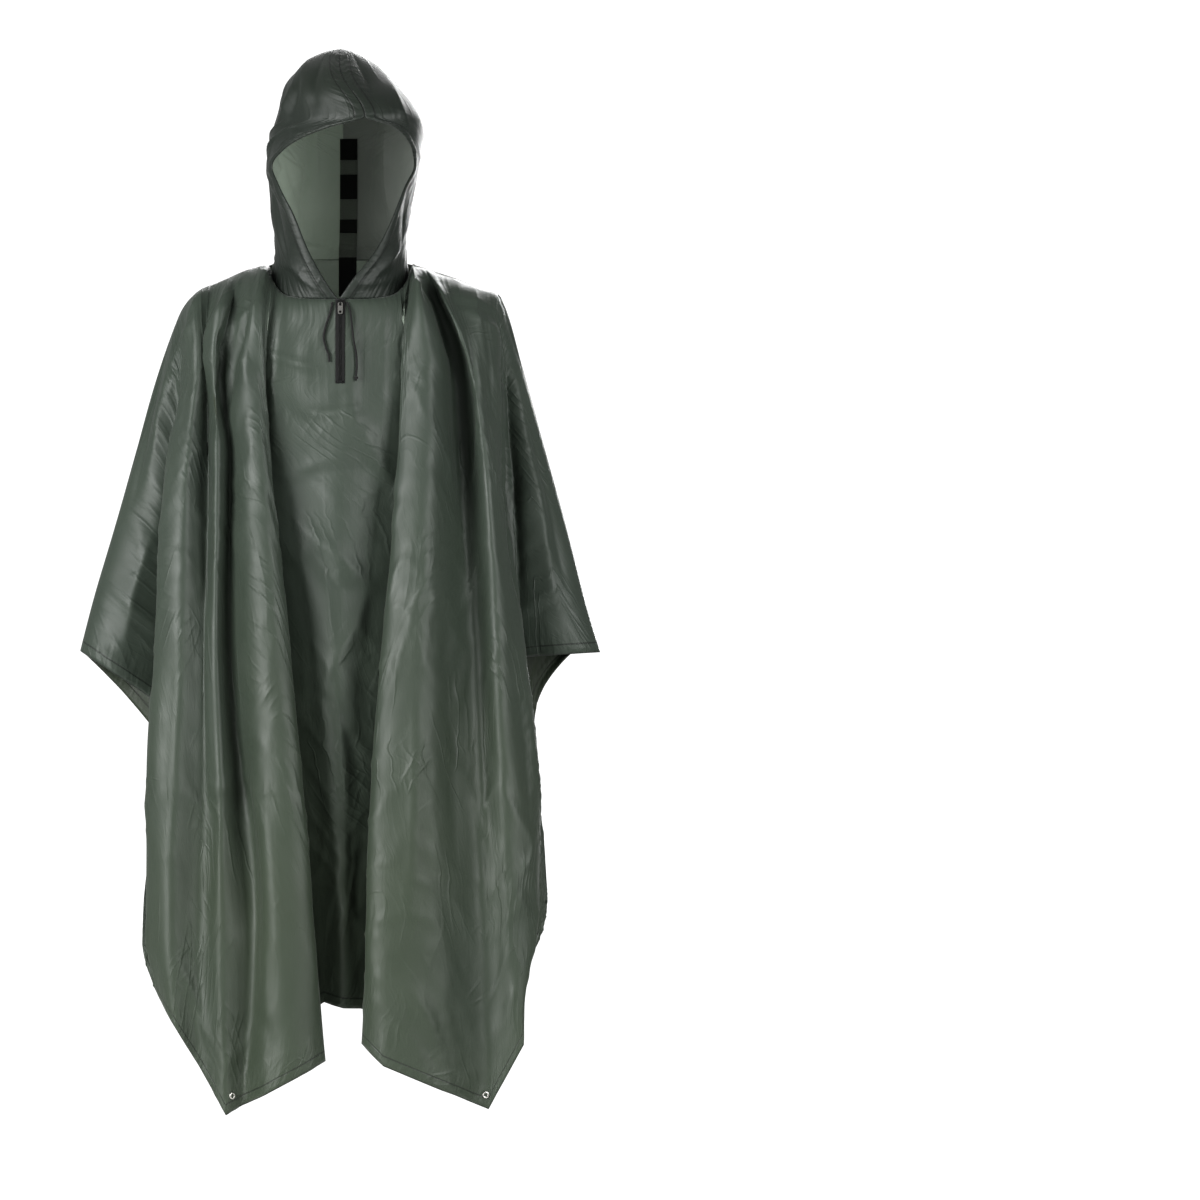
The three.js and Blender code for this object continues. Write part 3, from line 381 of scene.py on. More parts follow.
# Sleeve lines: x on the arm ridge, the fall to where they lie behind the nearest fold, how far
# behind, and x and z at the hem.
frontSleeves = {
    "right": [(-363, 100, 104, (-272, -912)), (-343, 105, 88, (-269, -932)),
              (-313, 110, 70, (-264, -950)), (-266, 105, 46, (-258, -967))],
    "left": [(263, 100, 38, (283, -892)), (313, 90, 58, (285, -880)),
             (343, 60, 76, (287, -868)), (363, 9, 90, (288, -854))],
}
backSleeves = {
    "right": [(-363, 165, 100, (-262, -880)), (-343, 150, 88, (-262, -892)),
              (-313, 130, 72, (-261, -905)), (-266, 110, 52, (-259, -918))],
    "left": [(263, 110, 36, (264, -712)), (313, 130, 52, (268, -690)),
             (343, 140, 68, (270, -672)), (363, 150, 84, (268, -655))],
}


def follow(knots, at):
    # a smooth curve through (place, value) knots that doesn't overshoot them
    places, values = np.array(knots, float).T
    chords = np.diff(values) / np.diff(places)
    before, after = chords[:-1], chords[1:]
    agree = before * after > 0
    inner = np.where(agree, 2 * before * after / np.where(agree, before + after, 1), 0)
    slopes = np.concatenate([chords[:1], inner, chords[-1:]])
    at = np.clip(at, places[0], places[-1])
    i = np.clip(np.searchsorted(places, at, side="right") - 1, 0, len(places) - 2)
    span = places[i + 1] - places[i]
    u = (at - places[i]) / span
    v = 1 - u
    return (values[i] * v * v * (1 + 2 * u) + values[i + 1] * u * u * (1 + 2 * v)
            + span * u * v * (slopes[i] * v - slopes[i + 1] * u))


def smoothStep(value, low, high):
    share = np.clip((value - low) / (high - low), 0, 1)
    return share * share * (3 - 2 * share)


def pathLine(points, at):
    # a smooth line through points of any width, read at shares of its length in knots
    run = np.linspace(0, 1, len(points))
    return np.stack([follow(list(zip(run, values)), at) for values in np.transpose(points)], 1)


def topEdge(x, side):
    # the neck seam in the middle, and the shoulder and arm ridge outside it
    outward = abs(x)
    if outward >= ridgeRight[0][0]:
        z = float(follow(ridgeRight if x < 0 else ridgeLeft, outward))
        return np.array([x, ridgePlane["y"] + ridgePlane["lean"] * z, z])
    lean = math.degrees(math.asin(x / neck["halfWidth"]))
    angle = lean if side < 0 else math.copysign(180, x) - lean
    turn = math.radians(angle)
    middle, reach = (neck["front"] + neck["back"]) / 2, (neck["back"] - neck["front"]) / 2
    return np.array([neck["halfWidth"] * math.sin(turn), middle - reach * math.cos(turn),
                     float(follow(neckHeights, abs(angle)))])


def nearestTop(edge, x, z):
    # how far each point lies from the top edge in the front view, and the depth of that edge
    start, run = edge[:-1], np.diff(edge, axis=0)
    dx, dz = x[:, None] - start[:, 0], z[:, None] - start[:, 2]
    along = np.clip((dx * run[:, 0] + dz * run[:, 2]) / (run[:, 0] ** 2 + run[:, 2] ** 2), 0, 1)
    distance = np.hypot(dx - run[:, 0] * along, dz - run[:, 2] * along)
    best = distance.argmin(1)
    rows = np.arange(len(x))
    return distance[rows, best], (start[:, 1] + run[:, 1] * along)[rows, best]


def spaced(points, count):
    # the same line with its points at even distances
    runs = np.concatenate([[0], np.cumsum(np.linalg.norm(np.diff(points, axis=0), axis=1))])
    even = np.linspace(0, runs[-1], count + 1)
    return np.stack([np.interp(even, runs, points[:, k]) for k in range(3)], 1)


def foldPlace(fold, topZ, z):
    # x and y of a fold at each height
    top, acrossPlaces, depths, (footX, footZ) = fold
    room = 30  # levels nearer than this to either end are left out
    inside = [(-level, x) for level, x in zip(levels, acrossPlaces)
              if room - topZ < -level < -footZ - room]
    x = follow([(-topZ, top), *inside, (-footZ, footX)], -z)
    return x, follow([(-level, y) for level, y in zip(levels, depths)], -z)


# how a sleeve line hangs: how deep it lies at its top and below, how far in it tucks, and the last
# stretch above the hem where it swings out again
sleeveHang = {"topShare": 0.45, "tuck": 14, "tuckShare": 0.25, "liftOver": 260, "liftShare": 0.75}


def panelLine(line, near, edge, side, rows):
    # one fold or sleeve line from the ridge to the hem; a sleeve hangs behind the fold near it
    start = topEdge(line[0], side)
    footX, footZ = line[-1]
    z = start[2] + (footZ - start[2]) * np.linspace(0, 1, 600) ** 2
    if near is None:
        x, y = foldPlace(line, start[2], z)
    else:
        top, drop, behind, _ = line
        x, y = foldPlace(near, topEdge(near[0], side)[2], np.maximum(z, near[-1][1]))
        dropped = np.clip((start[2] - z) / drop, 0, 1)
        lift = smoothStep(-z, -footZ - sleeveHang["liftOver"], -footZ)
        deep = sleeveHang["topShare"] + (1 - sleeveHang["topShare"]) * dropped ** 2
        away = behind * deep * (1 - sleeveHang["liftShare"] * lift)
        tucked = x - np.sign(x) * (sleeveHang["tuck"] + sleeveHang["tuckShare"] * away) * (1 - lift)
        x = tucked + (top - tucked) * (1 - dropped) ** 1.25
        x += (footX - x) * lift
        y = y - side * away
    distance, edgeY = nearestTop(edge, x, z)
    rounded = np.sqrt(1 - (1 - np.minimum(distance / shoulderRound, 1)) ** 2)
    points = np.stack([x, edgeY + (y - edgeY) * rounded, z], 1)
    points[0] = start
    return spaced(points, rows)


def blendLines(a, b, c, d, u):
    # a smooth step from line b to line c, led by their neighbours a and d
    return 0.5 * (2 * b + (c - a) * u + (2 * a - 5 * b + 4 * c - d) * u ** 2
                  + (3 * b - a - 3 * c + d) * u ** 3)


panelDetail = {"rows": 206, "columnWidth": 8.2, "fewest": 3, "most": 14}  # the grid of each panel


def panelGrid(folds, sleeves, side):
    edge = np.array([topEdge(x, side) for x in range(-edgeReach, edgeReach + 1, edgeStep)])
    rows = panelDetail["rows"]
    lines = [panelLine(line, folds[0], edge, side, rows) for line in sleeves["right"]]
    lines += [panelLine(fold, None, edge, side, rows) for fold in folds]
    lines += [panelLine(line, folds[-1], edge, side, rows) for line in sleeves["left"]]
    columns = []
    nearFoot = smoothStep(np.linspace(0, 1, rows + 1), 0.86, 0.99)[:, None]
    last = len(lines) - 1
    for i in range(last):
        a, b, c, d = lines[max(i - 1, 0)], lines[i], lines[i + 1], lines[min(i + 2, last)]
        widest = np.percentile(np.linalg.norm(c - b, axis=1), 80)
        steps = int(np.clip(round(widest / panelDetail["columnWidth"]),
                            panelDetail["fewest"], panelDetail["most"]))
        for k in range(steps):
            column = blendLines(a, b, c, d, k / steps)
            straight = b + (c - b) * k / steps  # near the hem, so that its corners stay pointed
            column[:, ::2] += (straight - column)[:, ::2] * nearFoot
            columns.append(column)
    columns.append(lines[-1])
    return np.array(columns)


def gridNormals(grid, side):
    across, down = np.gradient(grid, axis=0), np.gradient(grid, axis=1)
    normals = np.cross(down, across) * -side
    length = np.linalg.norm(normals, axis=2, keepdims=True)
    return normals / np.maximum(length, 1e-9)


creaseShape = {"gain": 1.5, "sharp": 1.25}


def pressCrease(grid, normals, side, path, width, out):
    # pushes a trough or ridge along a path of x and z, full in its middle and soft at its ends
    line = pathLine(path, np.linspace(0, 1, 4 * len(path)))
    lengths = np.linalg.norm(np.diff(line, axis=0), axis=1)
    x, z = grid[..., 0], grid[..., 2]
    reach = 3 * width
    near = ((x > line[:, 0].min() - reach) & (x < line[:, 0].max() + reach)
            & (z > line[:, 1].min() - reach) & (z < line[:, 1].max() + reach)
            & (normals[..., 1] * side > -0.2))
    px, pz = x[near], z[near]
    best, place = np.full(px.shape, 1e9), np.zeros(px.shape)
    for k, length in enumerate(lengths):
        (ax, az), (bx, bz) = line[k], line[k + 1]
        along = np.clip(((px - ax) * (bx - ax) + (pz - az) * (bz - az)) / length ** 2, 0, 1)
        distance = np.hypot(px - ax - (bx - ax) * along, pz - az - (bz - az) * along)
        closer = distance < best
        best = np.where(closer, distance, best)
        place = np.where(closer, lengths[:k].sum() + along * length, place)
    ends = np.sin(math.pi * np.clip(place / lengths.sum(), 0.02, 0.98)) ** 0.6
    amount = creaseShape["gain"] * out * ends * np.exp(-(best / width) ** creaseShape["sharp"])
    grid[near] += normals[near] * amount[:, None]


def softNoise(u, v, seed):
    # smooth seeded noise from -1 to 1 with lumps about one unit wide
    lattice = np.random.default_rng(seed).uniform(-1, 1, (64, 64))
    iu, iv = np.floor(u).astype(int), np.floor(v).astype(int)
    fu, fv = u - iu, v - iv
    fu, fv = fu * fu * (3 - 2 * fu), fv * fv * (3 - 2 * fv)

    def corner(a, b):
        return lattice[(iu + a) % 64, (iv + b) % 64]

    return ((corner(0, 0) * (1 - fu) + corner(1, 0) * fu) * (1 - fv)
            + (corner(0, 1) * (1 - fu) + corner(1, 1) * fu) * fv)


def clothRuns(grid):
    # how far each point lies along its row, and how far down its column
    across = np.cumsum(np.linalg.norm(np.diff(grid, axis=0), axis=2), 0)
    down = np.cumsum(np.linalg.norm(np.diff(grid, axis=1), axis=2), 1)
    return (np.concatenate([np.zeros((1, grid.shape[1])), across]),
            np.concatenate([np.zeros((len(grid), 1)), down], 1))


drift = 30  # how far the noise itself is pushed about, so that no wrinkle runs straight
crumples = [
    # width and length of a wrinkle, how far it leans, height, and whether it is sharp
    (70, 420, 0.08, 2.0, False), (38, 260, -0.15, 0.9, False), (60, 190, 0.45, 2.4, True),
    (52, 150, -0.7, 2.0, True), (34, 110, 0.2, 1.4, True), (70, 60, -0.1, 1.4, True),
]


def crumple(grid, normals, amount, seed):
    # the wrinkles that springy coated cloth keeps: soft long ones, and sharp short ones in patches
    across, down = clothRuns(grid)
    across = across + drift * softNoise(across / 150, down / 170, seed)
    down = down + drift * softNoise(across / 140 + 9, down / 190, seed + 1)
    height = np.zeros(across.shape)
    for k, (width, length, lean, tall, sharp) in enumerate(crumples):
        wave = softNoise((across + lean * down) / width, (down - lean * across) / length,
                         seed + 2 + k)
        patch = smoothStep(softNoise(across / 160, down / 200, seed + 20 + k), -0.1, 0.5)
        height += tall * (patch * np.maximum(1 - 4 * np.abs(wave), 0) ** 1.3 if sharp else wave)
    grid += normals * (height * amount)[..., None]


def gridQuads(columns, rows):
    index = np.arange(columns * rows).reshape(columns, rows)
    corners = [index[:-1, :-1], index[1:, :-1], index[1:, 1:], index[:-1, 1:]]
    return np.stack(corners, -1).reshape(-1, 4)


def newMesh(name, points, faces):
    mesh = bpy.data.meshes.new(name)
    mesh.from_pydata(points, [], faces)
    return mesh


def addPiece(name, mesh):
    piece = bpy.data.objects.new(name, mesh)
    scene.collection.objects.link(piece)
    return piece


farAway = {"seam": 500, "hem": 1000}  # the distances of cloth that has no neck seam or hem near it


def clothMesh(name, grid, seamDistance=None, hemEdges=(), flip=False, ridgePlaces=None):
    # a quad sheet with the cloth's own lengths as its texture map, and distances to hem and seam
    metres = grid * mm
    quads = gridQuads(*grid.shape[:2])
    if flip:
        quads = quads[:, ::-1]
    mesh = newMesh(name, metres.reshape(-1, 3).tolist(), quads.tolist())
    across, down = clothRuns(metres)
    hem = np.full(grid.shape[:2], farAway["hem"] * mm)
    run = down.copy()
    for kind, distance, length in (("bottom", down[:, -1:] - down, across), ("start", across, down),
                                   ("end", across[-1:] - across, down)):
        if kind in hemEdges:
            closer = distance < hem
            hem = np.where(closer, distance, hem)
            run = np.where(closer, length, run)
    loops = quads.reshape(-1)
    for uvName, u, v in (("cloth", across, down), ("edge", hem, run)):
        layer = mesh.uv_layers.new(name=uvName)
        pairs = np.stack([u.reshape(-1)[loops], v.reshape(-1)[loops]], 1).astype(np.float32)
        layer.data.foreach_set("uv", pairs.ravel())
    if seamDistance is None:
        seamDistance = np.full(grid.shape[:2], float(farAway["seam"]))
    measures = {"seam": seamDistance}
    if ridgePlaces is not None:
        measures["fan"] = np.repeat(ridgePlaces, grid.shape[1])
    for key, values in measures.items():
        attribute = mesh.attributes.new(key, "FLOAT", "POINT")
        attribute.data.foreach_set("value", (values * mm).astype(np.float32).ravel())
    mesh.polygons.foreach_set("use_smooth", [True] * len(quads))
    return addPiece(name, mesh)


def sewOn(piece, node):
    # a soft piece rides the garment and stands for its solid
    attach(piece, "garment")
    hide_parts(node)


def thicken(piece, thickness, *materials):
    for material in materials:
        piece.data.materials.append(material)
    shell = piece.modifiers.new("thickness", "SOLIDIFY")
    shell.thickness = thickness * mm
    shell.offset = 0
    shell.material_offset = len(materials) - 1
    shell.material_offset_rim = 0


# panels

frontCreases = [
    # path of x and z, half width, height out of the cloth
    ([(-132, 20), (-152, -12), (-174, -60), (-186, -150)], 8, 6),
    ([(-118, 24), (-134, -40), (-150, -120), (-156, -190)], 7, -7),
    ([(-150, 0), (-168, -50), (-160, -100), (-168, -160), (-170, -220)], 6, -5),
    ([(-146, -20), (-156, -80), (-150, -158), (-143, -220)], 6, 4),
    ([(-134, -90), (-124, -140)], 6, 4),
    ([(-186, 2), (-206, -36), (-214, -70)], 7, 5),
    ([(-196, -10), (-220, -60), (-230, -105)], 6, -5),
    ([(-204, -40), (-222, -90), (-238, -150)], 6, 4),
    ([(-222, -60), (-240, -120), (-262, -250)], 9, 6),
    ([(-240, -70), (-262, -150), (-290, -300)], 9, -5),
    ([(-100, -92), (-62, -104), (-26, -118)], 7, 4),
    ([(104, 34), (127, -3), (155, -69), (166, -112), (174, -211), (182, -400)], 12, -11),
    ([(110, 32), (144, -20), (164, -60), (180, -110), (186, -160)], 8, 6),
    ([(134, 24), (164, -12), (184, -70), (190, -150)], 7, -6),
    ([(197, -20), (206, -60), (214, -140), (224, -225)], 7, -6),
    ([(224, -22), (234, -60), (237, -100), (240, -211), (249, -434)], 9, -12),
    ([(240, -110), (262, -220), (284, -330), (300, -440)], 11, 6),
    ([(256, -140), (290, -290), (316, -420)], 9, -4),
    ([(10, -140), (30, -190), (88, -300)], 9, 4),
    ([(-70, -150), (-30, -176), (40, -166)], 8, -3),
    ([(-70, -270), (-10, -258), (60, -250)], 8, -1.2),
    ([(-66, -262), (-20, -240), (20, -236)], 8, 1.5),
    ([(-50, -330), (0, -372), (50, -420)], 10, 4),
    ([(-40, -360), (-6, -410), (24, -430)], 9, -3),
    ([(40, -420), (20, -480), (-16, -540)], 9, 3),
    ([(-30, -560), (10, -600), (26, -680)], 10, -3),
    ([(-260, -340), (-285, -420), (-300, -500)], 12, 4),
    ([(-180, -420), (-176, -560), (-170, -700)], 9, 4),
    ([(-226, -500), (-236, -640), (-240, -760)], 10, -3),
    ([(-140, -620), (-120, -760), (-112, -900)], 9, -5),
    ([(-100, -700), (-84, -860), (-76, -980)], 10, 3),
    ([(112, -560), (108, -720), (100, -880)], 10, 4),
    ([(150, -470), (160, -640), (164, -800)], 10, -4),
    ([(186, -700), (206, -780), (216, -860)], 9, 4),
    ([(250, -560), (262, -640), (266, -740)], 9, -4),
    ([(238, -820), (252, -850), (268, -870)], 8, 4),
    ([(100, -960), (128, -1010), (146, -1060)], 9, 4),
    ([(-220, -930), (-196, -990), (-176, -1050)], 9, 4),
    ([(-110, -1000), (-90, -1040), (-84, -1080)], 8, -3),
]
backCreases = [
    ([(-110, 26), (-160, -30), (-200, -80), (-220, -130)], 8, 7),
    ([(-104, 14), (-132, -60), (-156, -130), (-164, -200)], 8, -6),
    ([(-96, 20), (-116, -30), (-128, -80)], 6, 4),
    ([(-130, 10), (-172, -80), (-186, -170)], 7, -5),
    ([(-180, -10), (-224, -90), (-250, -180)], 8, -6),
    ([(-222, -60), (-250, -160), (-268, -280)], 10, 6),
    ([(-250, -180), (-270, -300), (-282, -420)], 9, -5),
    ([(106, 28), (146, -20), (176, -90)], 8, 7),
    ([(96, 24), (124, -40), (146, -120), (150, -210)], 8, -6),
    ([(124, 16), (170, -50), (196, -130)], 7, 5),
    ([(160, 8), (206, -80), (230, -170)], 8, -5),
    ([(224, -70), (248, -180), (262, -300)], 10, 7),
    ([(250, -260), (272, -360), (290, -480)], 10, -6),
    ([(50, 20), (58, -40), (60, -120)], 8, 4),
    ([(-60, 26), (-70, -30), (-66, -100)], 8, -4),
    ([(-30, -60), (-40, -180), (-36, -300)], 9, 3),
    ([(-4, 20), (0, -60), (-2, -160)], 6, -3),
    ([(60, -180), (96, -230), (120, -300)], 9, 3),
    ([(150, -400), (170, -520), (176, -640)], 10, 4),
    ([(-190, -420), (-196, -560), (-190, -700)], 10, 4),
    ([(-230, -520), (-240, -640), (-250, -760)], 9, -4),
    ([(40, -500), (60, -640), (56, -760)], 11, -3),
    ([(100, -760), (110, -880), (104, -960)], 10, 3),
    ([(-80, -600), (-70, -760), (-76, -900)], 10, 3),
    ([(-280, -800), (-260, -812), (-246, -808)], 7, -4),
]


gatherSets = [(22, 260, 5.0), (38, 520, 6.0)]  # pitch along the ridge, reach down the cloth, height


def gatherTop(grid, normals, side, seed):
    # creases that fan out from the neck and shoulders and die out down the cloth
    across, down = clothRuns(grid)
    along = across[:, :1]
    facing = smoothStep(normals[..., 1] * side, 0.2, 0.6)
    for k, (pitch, reach, tall) in enumerate(gatherSets):
        wander = 0.4 * softNoise(along / 60, down / 90, seed + 50)
        wave = softNoise(along / pitch + wander, down / (1.6 * reach), seed + k)
        fade = smoothStep(down, 5, 80) * (1 - smoothStep(down, 0.3 * reach, reach))
        patch = smoothStep(softNoise(along / 70, down / 300, seed + 9 + k), -0.8, 0.2)
        ridges = np.maximum(1 - 2.6 * np.abs(wave), 0) ** 1.2 - 0.3
        grid += normals * (tall * fade * patch * facing * ridges)[..., None]


def makePanel(name, side, folds, sleeves, creases):
    grid = panelGrid(folds, sleeves, side)
    rest = grid.copy()
    normals = gridNormals(rest, side)
    for path, width, out in creases:
        pressCrease(grid, normals, side, path, width, out)
    across, down = clothRuns(rest)
    gatherTop(grid, normals, side, 60 + side)
    crumple(grid, normals, smoothStep(down, 4, 70), 5 + side)
    grid[:, 0] = rest[:, 0]
    reach = side * (grid[..., 1] - ridgePlane["y"] - ridgePlane["lean"] * grid[..., 2])
    clear = np.where(np.arange(grid.shape[1]) > 0, clothThickness, 0)
    grid[..., 1] += side * np.maximum(0, clear - reach)
    inNeck = np.abs(grid[:, 0, 0]) < neck["halfWidth"]
    seam = np.where(inNeck[:, None], down, float(farAway["seam"]))
    piece = clothMesh(name, grid, seam, ("bottom", "start", "end"), side < 0, across[:, 0])
    thicken(piece, clothThickness, faceCloth, insideCloth)
    return piece, grid


frontPanel, frontGrid = makePanel("front_panel", -1, frontFolds, frontSleeves, frontCreases)
backPanel, backGrid = makePanel("back_panel", 1, backFolds, backSleeves, backCreases)
sewOn(frontPanel, "body_front")
sewOn(backPanel, "body_back")
for grid in (frontGrid, backGrid):
    sides = np.cross(grid[1:, :-1] - grid[:-1, :-1], grid[:-1, 1:] - grid[:-1, :-1])
    area = np.linalg.norm(sides, axis=2).sum() * mm * mm
    print("panel of", grid.shape[:2], "points and", round(area, 3), "square metres")


# hood

hoodSections = [
    # z, half width to the right and left, y of front and back, face opening right and left
    (0, 95.5, 95.5, -107.5, 66, 0, 0), (22, 93, 92, -112, 78, 18, 18),
    (60, 94, 92, -118, 96, 42, 52), (99, 99, 97, -126, 108, 60, 74),
    (141, 102, 102, -134, 116, 83, 91), (170, 104, 106, -140, 119, 96, 101),
    (190, 104, 107, -145, 119, 86, 94), (206, 104, 107, -149, 118, 70, 76),
    (221, 102, 104, -152, 116, 40, 46), (235, 98, 100, -152, 113, 0, 0),
    (262, 90, 88, -142, 104, 0, 0), (290, 73, 70, -120, 88, 0, 0), (312, 54, 51, -96, 70, 0, 0),
    (327, 33, 31, -70, 52, 0, 0), (335, 14, 13, -54, 42, 0, 0), (337, 0, 0, -46, 38, 0, 0),
]
hoodShape = {"columns": 104, "rowsEach": 9, "crownBow": 9, "leanBy": 38, "leanHeight": 235,
             "leanSpread": 45, "neckBlend": 110, "neckRise": -1.5,
             "crownFrom": 262, "crownTop": 337, "crumpleGain": 1.1,
             "rimPlace": 8, "rimWidth": 7, "rimHeight": 2.4}
hoodCreases = [
    # facing (-1 front, 1 back), path of x and z, half width, height
    (-1, [(-20, 330), (-34, 280), (-30, 246)], 8, -3),
    (-1, [(16, 332), (40, 290), (52, 250)], 8, -3),
    (-1, [(-62, 290), (-74, 250), (-90, 214)], 7, 4),
    (-1, [(-52, 300), (-60, 262), (-66, 236)], 6, -3),
    (-1, [(66, 290), (84, 250), (98, 216)], 7, 4),
    (-1, [(-98, 170), (-92, 120), (-78, 60), (-60, 10)], 7, -4),
    (-1, [(-90, 90), (-70, 40), (-40, 2)], 6, 4),
    (-1, [(98, 150), (92, 90), (76, 30)], 7, -4),
    (-1, [(94, 100), (70, 40), (40, 6)], 6, 4),
    (1, [(48, 290), (46, 240), (38, 180), (34, 130)], 6, 4),
    (1, [(-42, 300), (-52, 240), (-50, 180), (-56, 120)], 6, 5),
    (1, [(-34, 280), (-40, 220), (-36, 160)], 6, -4),
    (1, [(64, 250), (60, 180), (66, 110)], 7, -4),
    (1, [(90, 100), (60, 70), (20, 64)], 6, 4),
    (1, [(-94, 110), (-60, 76), (-14, 66)], 6, 4),
    (1, [(86, 74), (50, 56), (10, 56)], 6, -4),
    (1, [(-90, 80), (-50, 60), (-8, 56)], 6, -4),
    (1, [(-80, 180), (-60, 130), (-50, 90)], 7, 3),
]


def hoodGrid(side):
    # one half, in columns from the face opening to the seam at the back
    step = np.arange(0, len(hoodSections) - 1 + 1e-6, 1 / hoodShape["rowsEach"])
    table = np.array(hoodSections, float)
    z, right, left, front, back, openRight, openLeft = [
        follow(list(enumerate(table[:, k])), step) for k in range(7)]
    width, opening = (right, openRight) if side < 0 else (left, openLeft)
    width = np.maximum(width, 1e-3)
    first = np.arcsin(np.clip(opening / width, 0, 1))
    share = np.linspace(0, 1, hoodShape["columns"] + 1)[:, None]
    turn = first + (math.pi - first) * share
    x = side * np.maximum(width * np.sin(turn), 0)
    y = (front + back) / 2 - (back - front) / 2 * np.cos(turn)
    start = follow(neckHeights, np.degrees(turn)) + hoodShape["neckRise"]
    crown = smoothStep(z, hoodShape["crownFrom"], hoodShape["crownTop"])
    bow = hoodShape["crownBow"] * crown * np.cos(turn) ** 2
    height = z + start * np.maximum(0, 1 - z / hoodShape["neckBlend"]) - bow
    lean = np.exp(-((z - hoodShape["leanHeight"]) / hoodShape["leanSpread"]) ** 2)
    lean = hoodShape["leanBy"] * lean * np.cos(turn / 2) ** 4
    return np.stack([x + lean, y, height], -1), opening


def calmEnds(count, low, firstSteps, lastSteps):
    # nothing at both ends of a row of points, and full after some steps from each
    places = np.arange(count)
    return smoothStep(places, low, firstSteps) * smoothStep(-places, 1 - count, -lastSteps)


def makeHoodHalf(name, side):
    grid, opening = hoodGrid(side)
    rest = grid.copy()
    normals = np.cross(np.gradient(rest, axis=1), np.gradient(rest, axis=0))
    normals /= np.maximum(np.linalg.norm(normals, axis=2, keepdims=True), 1e-9)
    normals *= np.where((normals * (rest - [0, -20, 150])).sum(2, keepdims=True) < 0, -1, 1)
    for facing, path, width, out in hoodCreases:
        pressCrease(grid, normals, facing, path, width, out)
    calm = calmEnds(grid.shape[1], 0, 8, 100) * calmEnds(len(grid), 1, 8, 76)[:, None]
    crumple(grid, normals, hoodShape["crumpleGain"] * calm, 40 + side)
    shut = opening < 0.5
    along, _ = clothRuns(grid)
    # the drawcord's channel around the face
    rim = np.exp(-((along - hoodShape["rimPlace"]) / hoodShape["rimWidth"]) ** 4)
    grid += normals * (hoodShape["rimHeight"] * rim * ~shut)[..., None]
    for row in (0, -1):  # the seam lines stay where they are sewn
        grid[:, row] = rest[:, row]
    grid[-1] = rest[-1]
    grid[0, shut] = rest[0, shut]
    _, down = clothRuns(grid)
    piece = clothMesh(name, grid, down, ("start",), side < 0)
    thicken(piece, clothThickness, hoodFacePaintedShade, hoodInsidePaintedLight if side < 0 else hoodShade)
    return piece, grid


hoodRight, hoodRightGrid = makeHoodHalf("hood_right_half", -1)
hoodLeft, hoodLeftGrid = makeHoodHalf("hood_left_half", 1)
sewOn(hoodRight, "hood_right")
sewOn(hoodLeft, "hood_left")
print("hood is sewn")


# things that lie on the cloth

def clothTree(grid):
    points = (grid * mm).reshape(-1, 3).tolist()
    return BVHTree.FromPolygons(points, gridQuads(*grid.shape[:2]).tolist())


frontTree, backTree = clothTree(frontGrid), clothTree(backGrid)
hoodTrees = {-1: clothTree(hoodRightGrid), 1: clothTree(hoodLeftGrid)}


def onCloth(tree, x, z, side, lift=0.0):
    # the outermost point at x and z in millimetres, lifted off the cloth, with its normal
    point, normal, _, _ = tree.ray_cast(Vector((x * mm, side, z * mm)), Vector((0, -side, 0)))
    if normal.y * side < 0:
        normal.negate()
    return point + normal * lift * mm, normal


def stripGrid(places):
    return np.array([[np.array(point) / mm for point in column] for column in places])


zipPlan = {"x": 3, "top": -17, "bottom": -134, "width": 13, "lift": 1.4, "toothPitch": 1.3,
           "sliderRoom": 12, "endRoom": 2,
           "toothSize": (1.25, 0.42, 0.45), "stopSize": (4.3, 1.6, 1.0)}  # sizes are half sizes
heights = np.linspace(zipPlan["top"], zipPlan["bottom"], 60)
tapeColumns = zipPlan["x"] + np.linspace(-zipPlan["width"] / 2, zipPlan["width"] / 2, 9)
tapeRows = stripGrid([[onCloth(frontTree, x, z, -1, zipPlan["lift"])[0] for z in heights]
                      for x in tapeColumns])
zipTape = clothMesh("zip_tape_woven", tapeRows)
thicken(zipTape, 0.6, tapeCloth)
sewOn(zipTape, "zip_tape")


def roundEdges(piece, width, segments):
    bevel = piece.modifiers.new("rounded edges", "BEVEL")
    bevel.width = width * mm
    bevel.segments = segments


def joinBoxes(name, boxes, material):
    # boxes are (centre, across, up, out, half sizes), each a small bevelled block
    points, faces = [], []
    corners = [(-1, -1, -1), (1, -1, -1), (1, 1, -1), (-1, 1, -1),
               (-0.7, -0.7, 1), (0.7, -0.7, 1), (0.7, 0.7, 1), (-0.7, 0.7, 1)]
    sides = [(0, 3, 2, 1), (4, 5, 6, 7), (0, 1, 5, 4), (1, 2, 6, 5), (2, 3, 7, 6), (3, 0, 4, 7)]
    for centre, across, up, out, half in boxes:
        first = len(points)
        points += [tuple(centre + across * half[0] * a + up * half[1] * b + out * half[2] * c)
                   for a, b, c in corners]
        faces += [tuple(first + k for k in face) for face in sides]
    mesh = newMesh(name, points, faces)
    mesh.materials.append(material)
    piece = addPiece(name, mesh)
    roundEdges(piece, 0.12, 2)
    return piece


